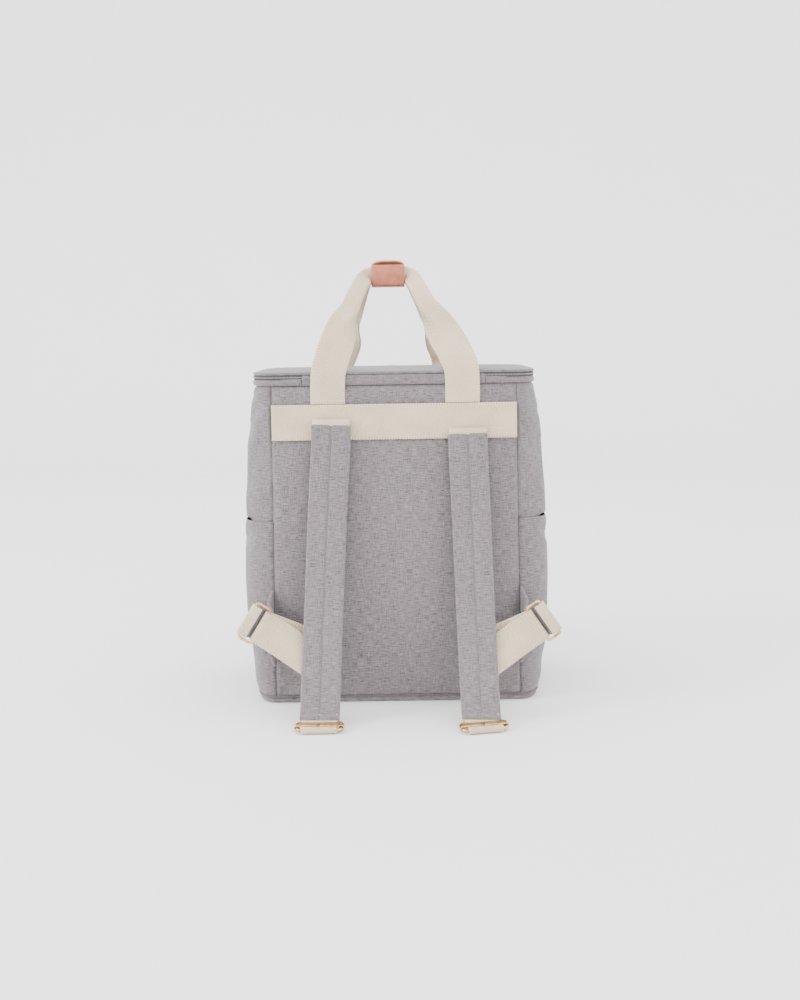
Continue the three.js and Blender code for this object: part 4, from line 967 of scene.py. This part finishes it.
# %% Build the wrap
WRAP_CENTRE, LEATHER = -4.8, 2.0
bundle = PINCH_STAND + FOLD_RADIUS + WEB / 2 + 2.1 + LEATHER / 2
fold_depth = 19.0 - FOLD_RADIUS * (math.pi / 2 - 1) + WEB / 2
wrap_bottom = HANDLE_RISE - fold_depth / 2 - 3.4 - GAP - LEATHER / 2
wrap_top = HANDLE_RISE + fold_depth / 2
arc = lambda end: [(end * (bundle - 4 + 4 * math.cos(t)), wrap_bottom + 4 - 4 * math.sin(t), 1.0)
                   for t in np.linspace(0, math.pi / 2, 4)]
rows = [(-bundle + 2.6, wrap_top - 0.2, 1.0), (-bundle + 0.9, wrap_top - 2.2, 1.0),
        (-bundle - 0.3, HANDLE_RISE + 3, 1.0), (-bundle - 0.5, HANDLE_RISE - 4, 1.0),
        *arc(-1), *arc(1)[::-1], (bundle, HANDLE_RISE, 1.0), (bundle, wrap_top, 1.0),
        (bundle - 1.35, wrap_top + 2.7, 0.95), (bundle - 3.6, wrap_top + 4.3, 0.78),
        (bundle - 6.3, wrap_top + 5.2, 0.47)]
stations = [((WRAP_CENTRE, y, z), (19.0 * reach, 0, 0)) for y, z, reach in rows]
wrap = ribbon("wrap_leather", stations, LEATHER, LEATHER_FINISH, per_span=6, steps=10)
wear(wrap, "handle_wrap")
print("wrap", round(wrap_bottom), "to", round(wrap_top + 5), "mm high")

# %% [markdown]
# ## Where the harness runs
# Each shoulder strap falls from an anchor on the band to a brass slide near the floor, standing far off
# the bag at its foot. A cream webbing comes back from the slide, up behind the strap, to a ring on a
# cloth tab at the side seam. The two sides hang a little differently, as they do on a real bag, so
# one table holds both and every piece reads its places from it.

# %% Places of the harness
HARNESS = {
    "left": dict(sign=-1, top=320, out=69, slide_out=84.5, slide_stand=98, yaw=0, ring_out=156.5,
                 ring_height=106.5, lean=32),
    "right": dict(sign=1, top=308.5, out=80.2, slide_out=91.6, slide_stand=103.5, yaw=11, ring_out=160,
                  ring_height=104.5, lean=34),
}
WIRE, SLIDE_SPREAD, SLIDE_LENGTH, RING_SPREAD, RING_LENGTH = 3.0, 15.0, 50.0, 16.0, 47.0
WEB_BEND = WIRE / 2 + GAP + WEB / 2
WEB_ROLL = WEB_BEND + WEB / 2
# rise over the slide, stand out from the bag and sideways drift, as shares, down the strap
STRAP_FALL = [(1.000, 0.00, 0.00), (0.920, 0.03, 0.06), (0.690, 0.10, 0.37), (0.420, 0.25, 0.67),
              (0.220, 0.50, 0.86), (0.065, 0.81, 0.97), (0.000, 1.00, 1.00)]


def harness_places(side):
    h = dict(side)
    sign, yaw, tilt, landing, lean = h["sign"], *(math.radians(d) for d in (h["yaw"], 11, 34, h["lean"]))
    h["across"] = np.array([sign * math.cos(yaw), math.sin(yaw), 0])
    h["inward"] = np.array([-sign * math.sin(yaw), math.cos(yaw), 0])
    h["up"] = np.array([0, 0, 1.0])
    h["slide_run"] = h["inward"] * math.cos(tilt) + h["up"] * math.sin(tilt)
    h["near"] = np.array([sign * h["slide_out"], -(HALF_DEPTH + h["slide_stand"]), WEB_ROLL + 2 * GAP])
    h["far"] = h["near"] + h["slide_run"] * SLIDE_SPREAD
    h["strap_end"] = h["far"] + 6.5 * (h["inward"] * math.sin(landing) + h["up"] * math.cos(landing))
    band_back = float(panel_stand(h["out"] - 20.5, rise_of(BAND_BOTTOM))) + GAP
    h["anchor_back"] = band_back + GAP + WEB * 1.5
    h["strap_top"] = np.array([sign * h["out"], -(h["anchor_back"] + 7.2), h["top"]])
    h["ring_long"] = np.array([sign * math.sin(lean), 0, -math.cos(lean)])
    h["ring_short"] = np.array([-sign * math.cos(lean), 0, -math.sin(lean)])
    h["ring"] = np.array([sign * h["ring_out"], -(HALF_DEPTH + 40), h["ring_height"]])
    a, b = h["strap_top"], h["strap_end"]
    h["fall"] = [(a[0] + (b[0] - a[0]) * drift, a[1] + (b[1] - a[1]) * stand, b[2] + (a[2] - b[2]) * rise)
                 for rise, stand, drift in STRAP_FALL]
    return h


def strap_frame(h, shares):
    shares = np.atleast_1d(shares)
    run = tangents(h["fall"], np.clip(shares, 0.002, 0.998))
    side = np.array([h["sign"], 0, 0]) * (1 - shares[:, None]) + h["across"] * shares[:, None]
    across = unit(squared(side, run))
    return curve_through(h["fall"], shares), run, across, np.cross(run, across) * h["sign"]


def bend_around(bar, first, second, radius, start, stop, steps, across):
    return [(bar + first * math.cos(t) * radius + second * math.sin(t) * radius, across)
            for t in np.radians(np.linspace(start, stop, steps + 1))]


PLACES = {label: harness_places(side) for label, side in HARNESS.items()}
print({label: np.round(h["strap_end"]).tolist() for label, h in PLACES.items()})

# %% [markdown]
# ## Shoulder straps
# A strap is a long flat pad in a sleeve of the heather cloth, sewn down its middle, so its face swells
# on both sides of a narrow channel and rolls in at its edges. A flat pad this thin would vanish in a
# remesh, so it is modelled directly: a rounded cross-section, with slow swellings and cross creases
# along its length.

# %% Build the straps
STRAP_HALF, STRAP_THICK = 21.5, 5.0
# The channel's depth and reach to each side of the seam, and the strap's rough length
CHANNEL, CHANNEL_REACH, STRAP_RUN = 1.3, 3.2, 330


def strap_ring(share, seed):
    """A cross-section of the strap: shape of the swelling, the channel and the rolled edges."""
    a = np.concatenate([np.linspace(-1, -0.9, 5), np.linspace(-0.84, -0.1, 10), np.linspace(-0.07, 0.07, 7),
                        np.linspace(0.1, 0.84, 10), np.linspace(0.9, 1, 5)])
    body = np.clip(1 - np.abs(a) ** 9, 0, 1) ** 0.5
    seam = np.exp(-(a * STRAP_HALF / 1.1) ** 2)
    edge = np.exp(-((np.abs(a) - 0.86) * STRAP_HALF / 0.8) ** 2)
    soft = [noise.fractal(Vector((x * 1.1 + seed, share * 16, seed)), 1.0, 2.0, 3) for x in a]
    crease = [noise.noise(Vector((x * 0.5 + seed, share * 46, 3 + seed))) for x in a]
    swell = 1 + 0.10 * np.array(soft) + 0.07 * np.array(crease)
    depth = CHANNEL * min(1, max(0, (0.96 - share) * 30))
    face = STRAP_THICK / 2 * body * (0.86 + 0.14 * np.cos(a * np.pi * 1.0) ** 2) * swell
    face = face - 0.85 * seam - 0.25 * edge - depth * np.exp(-(a * STRAP_HALF / CHANNEL_REACH) ** 2)
    back = -STRAP_THICK / 2 * body * (0.92 + 0.04 * np.array(soft))
    wave = 0.25 * noise.noise(Vector((share * 22, seed, 5)))
    front = np.stack([a * STRAP_HALF + wave, np.maximum(face, -0.2)], axis=-1)
    rear = np.stack([a * STRAP_HALF + wave, back], axis=-1)[1:-1][::-1]
    return np.concatenate([front, rear])


for label, h in PLACES.items():
    shares = np.unique(np.concatenate([np.linspace(0, 0.03, 8), np.linspace(0.03, 0.97, 170),
                                       np.linspace(0.97, 1, 8)]))
    middles, run, across, face = strap_frame(h, shares)
    past = np.array([1.0, 2.0, 3.0, 4.0, 4.8])
    over = smooth(np.concatenate([(shares - 1) * STRAP_RUN, past]), -6, 4)
    middles = np.concatenate([middles, middles[-1] + past[:, None] * run[-1]])
    across, face = (np.concatenate([a, np.repeat(a[-1:], len(past), axis=0)]) for a in (across, face))
    shares = np.concatenate([shares, 1 + past / STRAP_RUN])
    middles = middles + face * (2.4 * over)[:, None]
    squeeze = 1 - 0.45 * np.exp(-(shares * STRAP_RUN / 2.5) ** 2)
    squeeze = squeeze - 0.35 * np.exp(-((shares[-1] - shares) * STRAP_RUN / 1.6) ** 2)
    rings = np.array([strap_ring(s, h["sign"] + 2.0) for s in shares])
    rings[..., 1] *= np.where(rings[..., 1] < 0, 1 - 0.75 * over[:, None], 1) * squeeze[:, None]
    # The straps wear the lighter copy of the heather, which is painted light.
    piece = sweep(label + "_strap_cloth", middles, across, face, rings, HEATHER_STRAP_PAINTED_LIGHT)
    wear(piece, label + "_strap")
    print(piece.name, len(piece.data.polygons), "faces")

# %% [markdown]
# ## Anchors and strap ends
# At its top each strap is caught in a folded piece of the webbing, sewn to the band. At its foot a
# second piece loops round the slide's far bar. Both are short ribbons round a bend, with their width
# taken from the webbing.

# %% Build the anchors and the strap ends
for label, h in PLACES.items():
    wide = np.array([20.5, 0, 0])
    fold_top = h["top"] + 6 - 3.6 - WEB / 2
    centre = np.array([h["strap_top"][0], -(h["anchor_back"] + 3.6), fold_top])
    low = np.array([h["strap_top"][0], -h["anchor_back"], BAND_BOTTOM + 2])
    middle = low * [1, 1, 0] + [0, 0, (low[2] + fold_top) / 2]
    stations = [(low, wide), (middle, wide),
                *bend_around(centre, np.array([0, 1.0, 0]), h["up"], 3.6, 0, 180, 8, wide),
                (h["strap_top"] - [0, 0, 1.0], wide)]
    anchor = ribbon(label + "_anchor_webbing", stations, WEB, COTTON, rim=0.15, steps=10)
    wear(anchor, label + "_strap_anchor")

    across = h["across"] * 19
    up = unit(h["strap_end"] - h["far"])
    level = np.cross(up, h["across"]) * h["sign"]
    tops = [(h["strap_end"] + up * 2 + level * s * 1.1, across) for s in (-1, 1)]
    stations = [tops[1], *bend_around(h["far"], level, up, WEB_BEND, 0, -180, 8, across), tops[0]]
    piece = ribbon(label + "_end_webbing", stations, WEB, COTTON, steps=10)
    wear(piece, label + "_strap_end")
print("anchors and ends on both sides")

# %% [markdown]
# ## Brass slides and rings
# A slide is a bent rectangle of brass wire with a sheet strip laid over it, curled round the wire at
# both ends. A ring is a plain rectangle of wire. Real ones are bent, not cast, so their corners are
# round and the strip's curls stand proud as small eyelets.

# %% Build the brass
def wire_loop(name, middle, long_axis, short_axis, half_long, half_short, corner):
    normal = np.cross(long_axis, short_axis)
    middles, outs = [], []
    for quarter, (a, b) in enumerate(((1, 1), (-1, 1), (-1, -1), (1, -1))):
        for turn in np.linspace(0, math.pi / 2, 9) + quarter * math.pi / 2:
            out = long_axis * math.cos(turn) + short_axis * math.sin(turn)
            middles.append(middle + long_axis * a * (half_long - corner)
                           + short_axis * b * (half_short - corner) + out * corner)
            outs.append(out)
    ring = [(WIRE / 2 * math.cos(t), WIRE / 2 * math.sin(t)) for t in np.linspace(0, 2 * np.pi, 15)[:-1]]
    return sweep(name, middles, outs, np.broadcast_to(normal, np.shape(outs)), ring, BRASS, looped=True)


for label, h in PLACES.items():
    middle = h["near"] + h["slide_run"] * SLIDE_SPREAD / 2
    reach = (SLIDE_LENGTH - WIRE) / 2
    frame_piece = wire_loop(label + "_slide_wire", middle, h["across"], h["slide_run"], reach,
                            SLIDE_SPREAD / 2, 3.5)
    wear(frame_piece, label + "_slide_frame")
    normal = np.cross(h["across"], h["slide_run"]) * h["sign"]
    wide = h["slide_run"] * 3.5
    curl = lambda s: bend_around(middle + h["across"] * s * reach, h["across"], normal, WIRE / 2 + GAP + 0.6,
                                 90, 90 - s * 250, 10, wide)
    meet = [(middle + normal * (WIRE / 2 + GAP + 0.6) + h["across"] * s * 0.35, wide) for s in (-1, 1)]
    halves = (("outer", curl(1)[::-1] + [meet[1]]), ("inner", curl(-1)[::-1] + [meet[0]]))
    for part, stations in halves:
        bar = ribbon(f"{label}_slide_{part}_strip", stations, 1.2, BRASS, per_span=4, steps=4)
        wear(bar, label + "_slide_bar")
    ring = wire_loop(label + "_ring_wire", h["ring"], h["ring_long"], h["ring_short"],
                     (RING_LENGTH - WIRE) / 2, RING_SPREAD / 2, 2.8)
    wear(ring, label + "_tab_ring")
print("slides and rings on both sides")

# %% [markdown]
# ## Side tabs and their loops
# A tab of doubled heather cloth leaves the side seam, tapers, and holds the ring by a loop of webbing
# round the ring's outer bar. The tab twists as it goes, because the ring leans with the strap's pull.

# %% Build the tabs
for label, h in PLACES.items():
    y = np.array([0, 1.0, 0])
    behind = WEB_ROLL + GAP + 1.5
    root_height = 45.5 + 44
    _, half_depth, seam, _ = body_at(rise_of(root_height))
    root = np.array([h["sign"] * (float(seam) + 1.5), -(float(half_depth) + 1.05), root_height])
    tip = h["ring"] - h["ring_short"] * RING_SPREAD / 4
    under = h["ring"] + h["ring_short"] * (RING_SPREAD / 2 + WEB_ROLL) + y * (behind + 2)
    slot_place = tip + h["ring_short"] * RING_SPREAD * 0.45 + y * behind
    lift = tip + h["ring_short"] * RING_SPREAD * 0.16 + y * GAP
    tip_wide, root_wide = h["ring_long"] * 18.5, np.array([0, 0, -44.0])
    blend = lambda t: root_wide * (1 - t) + tip_wide * t
    stations = [(root, root_wide), (root * 0.5 + under * 0.5, blend(0.55) * [0.1, 1, 1]),
                (under, blend(0.95)), (slot_place, tip_wide), (lift, tip_wide), (tip, tip_wide)]
    tab = ribbon(label + "_tab_cloth", stations, 2.8, HEATHER, per_span=9, square=False, rim=0.3, steps=16)
    wear(tab, label + "_tab")
    bar = h["ring"] - h["ring_short"] * RING_SPREAD / 2
    radius = max(WEB_BEND, 1.5 + GAP + WEB / 2) + GAP / 2
    end = lambda s, share: (bar + h["ring_short"] * RING_SPREAD * share + y * s * radius, tip_wide)
    stations = [end(-1, 0.5), *bend_around(bar, -y, -h["ring_short"], radius, 0, 180, 8, tip_wide),
                end(1, 0.2)]
    loop = ribbon(label + "_tab_webbing", stations, WEB, COTTON, steps=10)
    wear(loop, label + "_tab_loop")
print("tabs and loops on both sides")

# %% [markdown]
# ## Adjusters
# One length of webbing joins the ring to the slide: round the ring's inner bar, down in two layers
# behind the strap, and round the slide's near bar. Between ring and strap it hangs free and tips
# over, so the camera sees a broad cream band there.

# %% Build the adjusters
def cubic(a, b, c, d, t):
    return (1 - t) ** 3 * a + 3 * (1 - t) ** 2 * t * b + 3 * (1 - t) * t ** 2 * c + t ** 3 * d


for label, h in PLACES.items():
    y, half = np.array([0, 1.0, 0]), 19.0
    bar = h["ring"] + h["ring_short"] * RING_SPREAD / 2
    ring_across = h["ring_long"] * (half - GAP)
    layers = WEB + 3 * GAP
    behind = STRAP_THICK / 2 + 4 * GAP + layers
    lies = []
    for t in (0.76, 0.83, 0.89, 0.95):
        place, run, across, face = (a[0] for a in strap_frame(h, t))
        lies.append((place - face * behind, across * half, run))
    high_at, high_across, high_run = lies[0]
    ends = (bar, bar + h["ring_short"] * 38 * 0.95 + y * STRAP_THICK,
            high_at - high_run * 38 * 0.55 + y * 9, high_at)
    hangs = []
    for t in (0.2, 0.45, 0.7):
        run = unit(cubic(*ends, t + 1e-3) - cubic(*ends, t - 1e-3))
        across = ring_across * (1 - t) + high_across * t - y * half * 0.35 * math.sin(math.pi * t)
        hangs.append((cubic(*ends, t), unit(squared(across, run)) * half, run))

    def layer(sideways):
        out = []
        for i, (at, across, run) in enumerate(hangs + lies):
            apart = (2 * WEB_BEND + (layers - 2 * WEB_BEND) * min(1, i / 3)) / 2
            normal = unit(np.cross(run, across))
            sag = [0.35, 1.0, 0.9, 0.35, 0, 0, 0][i] * np.array([0, 2.0 * sideways, 5.5 * sideways])
            out.append((at + normal * np.sign(normal[1]) * sideways * apart + sag, across))
        return out

    across = h["across"] * half
    floor = WEB / 2 + 2 * GAP
    on_floor = lambda depth, height: ((h["near"] + h["inward"] * depth) * [1, 1, 0] + [0, 0, height], across)
    roll = bend_around(h["near"], -h["inward"], h["up"], WEB_BEND, -80, 165, 10, across)
    back = bend_around(bar, y, -h["ring_short"], WEB_BEND, 180, 0, 8, ring_across)
    stations = [*layer(-1)[::-1], *back, *layer(1),
                on_floor(SLIDE_SPREAD + 6.5, floor + GAP), on_floor(SLIDE_SPREAD * 0.9, floor),
                on_floor(SLIDE_SPREAD * 0.4, floor), *roll]
    adjuster = ribbon(label + "_adjuster_webbing", stations, WEB, COTTON, per_span=6, square=False,
                      rim=0.12, steps=12)
    wear(adjuster, label + "_adjuster")
    print(adjuster.name, len(adjuster.data.polygons), "faces")

# %% [markdown]
# ## Stitches
# Rows of thread show where the pieces are sewn. A row is a line held in front of the cloth: a ray from
# each of its points finds the surface, so the row follows every bulge. The Geometry Nodes tree from
# above then sets one stitch per pitch along it.

# %% Sew the rows
FINE_PITCH, FINE_STITCH = 3.6, (2.5, 0.55, 0.4)


def sew(name, rows, pitch, size, finish, seed):
    """Stitches along every row that found cloth."""
    repeats(name, [row for row in rows if len(row[0]) > 2], pitch, size, finish, seed=seed)


def laid_on(piece, starts, ways):
    """Where rays from the starts meet a piece, in millimetres, and which way its cloth faces there."""
    tree = BVHTree.FromObject(piece, bpy.context.evaluated_depsgraph_get())
    points, facing = [], []
    for start, way in zip(starts, np.broadcast_to(ways, np.shape(starts))):
        place, normal, _, _ = tree.ray_cast(Vector(start) / 1000, Vector(way))
        if place is not None:
            points.append(np.array(place) * 1000)
            facing.append(-np.array(way) if normal.dot(Vector(way)) > 0 else np.array(normal))
    return np.array(points), np.array(facing)


def level_row(piece, height, half, sign=-1):
    x = np.linspace(-half, half, 90)
    starts = np.stack([x, 400.0 * sign + 0 * x, height + 0 * x], axis=-1)
    return laid_on(piece, starts, [0, -sign, 0])


rows = [level_row(bpy.data.objects["band_webbing"], z, 131) for z in (BAND_TOP - 3.2, BAND_BOTTOM + 3.2)]
sew("band_stitches", rows, 4.4, (3.1, 0.7, 0.5), CREAM_THREAD, 2)

heights = [v.co.z * 1000 for v in bpy.data.objects["hinge_cloth"].data.vertices]
rows = [level_row(bpy.data.objects["hinge_cloth"], z, 96) for z in (min(heights) + 2.6, max(heights) - 2.6)]
sew("hinge_stitches", rows, FINE_PITCH, FINE_STITCH, GREY_THREAD, 3)

half_width, half_depth, _, _ = body_at(1)
rows = []
for sign in (-1, 1):
    x = np.linspace(-float(half_width) * 0.78, float(half_width) * 0.78, 90)
    starts = np.stack([x, sign * (float(half_depth) - 5.0) + 0 * x, 430 + 0 * x], axis=-1)
    rows.append(laid_on(bpy.data.objects["lid_cloth"], starts, [0, 0, -1.0]))
sew("lid_stitches", rows, FINE_PITCH, FINE_STITCH, GREY_THREAD, 4)

for label, sign in (("left", -1), ("right", 1)):
    _, hem_depth, _, hem_height = body_at(HEM_RISE)
    y = np.linspace(-float(hem_depth) * 0.82, float(hem_depth) * 0.82, 80)
    starts = np.stack([sign * 400.0 + 0 * y, y, float(hem_height) - 8.7 + 0 * y], axis=-1)
    row = laid_on(bpy.data.objects[label + "_pocket_cloth"], starts, [-sign, 0, 0])
    sew(label + "_hem_stitches", [row], FINE_PITCH, FINE_STITCH, GREY_THREAD, 5)

for label, h in PLACES.items():
    strap = bpy.data.objects[label + "_strap_cloth"]
    rows = []
    for lateral, first, last in ((-STRAP_HALF + 4, 0.01, 0.985), (STRAP_HALF - 4, 0.01, 0.985),
                                 (0, 0.03, 0.965)):
        middles, _, across, face = strap_frame(h, np.linspace(first, last, 160))
        rows.append(laid_on(strap, middles + across * lateral + face * 14, -face))
    for share in (0.016, 0.034, 0.962, 0.980):
        middles, _, across, face = strap_frame(h, [share])
        spread = np.linspace(-STRAP_HALF + 4, STRAP_HALF - 4, 24)[:, None]
        rows.append(laid_on(strap, middles + across * spread + face * 14, np.repeat(-face, 24, axis=0)))
    sew(label + "_strap_stitches", rows, 3.4, (2.4, 0.55, 0.45), GREY_THREAD, 6)


# %% [markdown]
# ## Stage
# The bag stands on a plain pale floor that curves up into a wall far behind it, in soft, even
# daylight from the left with a large fill. The backdrop stands only behind the bag, so its bend
# shows from the side. The camera looks slightly down at the back panel. Its lens and tilt were worked
# out from the bag's own upright edges, and it has no depth of field, so other views stay sharp.

# %% Floor, lights and camera
floor_finish, floor_tree, floor_shader, floor_add = start_finish("pale floor", 0.9)
grain = stretched_noise(floor_add, floor_add("TexCoord").outputs["Object"], (3, 3, 3), 2)
pale = coloured(floor_add, grain, (0.80, 0.80, 0.80), (0.82, 0.82, 0.82))
floor_tree.links.new(pale, floor_shader.inputs[0])
floor_shader.inputs["Specular IOR Level"].default_value = 0.0
floor_mesh = bpy.data.meshes.new("floor")
bend = np.linspace(0, math.pi / 2, 25)
line = [(-9.0, 0.0), *zip(2.2 + 1.5 * np.sin(bend), 1.5 - 1.5 * np.cos(bend)), (3.7, 9.0)]
floor_mesh.from_pydata([(x, y, z) for y, z in line for x in (-9, 9)], [],
                       [(2 * k, 2 * k + 1, 2 * k + 3, 2 * k + 2) for k in range(len(line) - 1)])
floor_mesh.polygons.foreach_set("use_smooth", [True] * len(floor_mesh.polygons))
floor_mesh.materials.append(floor_finish)
floor = bpy.data.objects.new("floor", floor_mesh)
bpy.context.scene.collection.objects.link(floor)

world = bpy.data.worlds.new("studio")
bpy.context.scene.world = world
world.use_nodes = True
world.node_tree.nodes["Background"].inputs[0].default_value = (0.853, 0.853, 0.853, 1)
world.node_tree.nodes["Background"].inputs[1].default_value = 4.0


def soft_light(name, place, aim, size, power, colour=(1, 1, 1)):
    lamp = bpy.data.lights.new(name, "AREA")
    lamp.shape, lamp.size, lamp.energy, lamp.color = "DISK", size, power, colour
    holder = bpy.data.objects.new(name, lamp)
    holder.location = place
    holder.rotation_euler = (Vector(aim) - Vector(place)).to_track_quat("-Z", "Y").to_euler()
    bpy.context.scene.collection.objects.link(holder)


soft_light("key", (-2.4, -0.9, 1.3), (0, 0, 0.2), 1.1, 60, (1.0, 0.99, 0.975))
soft_light("fill", (1.6, -2.2, 1.0), (0, 0, 0.2), 1.6, 9)
soft_light("top", (0.1, 0.4, 2.4), (0, 0, 0.2), 1.6, 12)

camera = bpy.data.cameras.new("camera")
camera.lens, camera.sensor_width, camera.sensor_fit = 40.9, 36.0, "AUTO"
viewer = bpy.data.objects.new("camera", camera)
tilt, roll = math.radians(8.447), math.radians(0.9)
forward = Vector((0, math.cos(tilt), -math.sin(tilt)))
right = Vector((1, 0, 0))
up = right.cross(forward)
right, up = (math.cos(roll) * right - math.sin(roll) * up, math.cos(roll) * up + math.sin(roll) * right)
viewer.matrix_world = ([*right, 0], [*up, 0], [*(-forward), 0], [0.005, -1.340, 0.420, 1])
bpy.context.scene.collection.objects.link(viewer)
bpy.context.scene.camera = viewer
print("camera at", [round(x, 3) for x in viewer.matrix_world.translation])
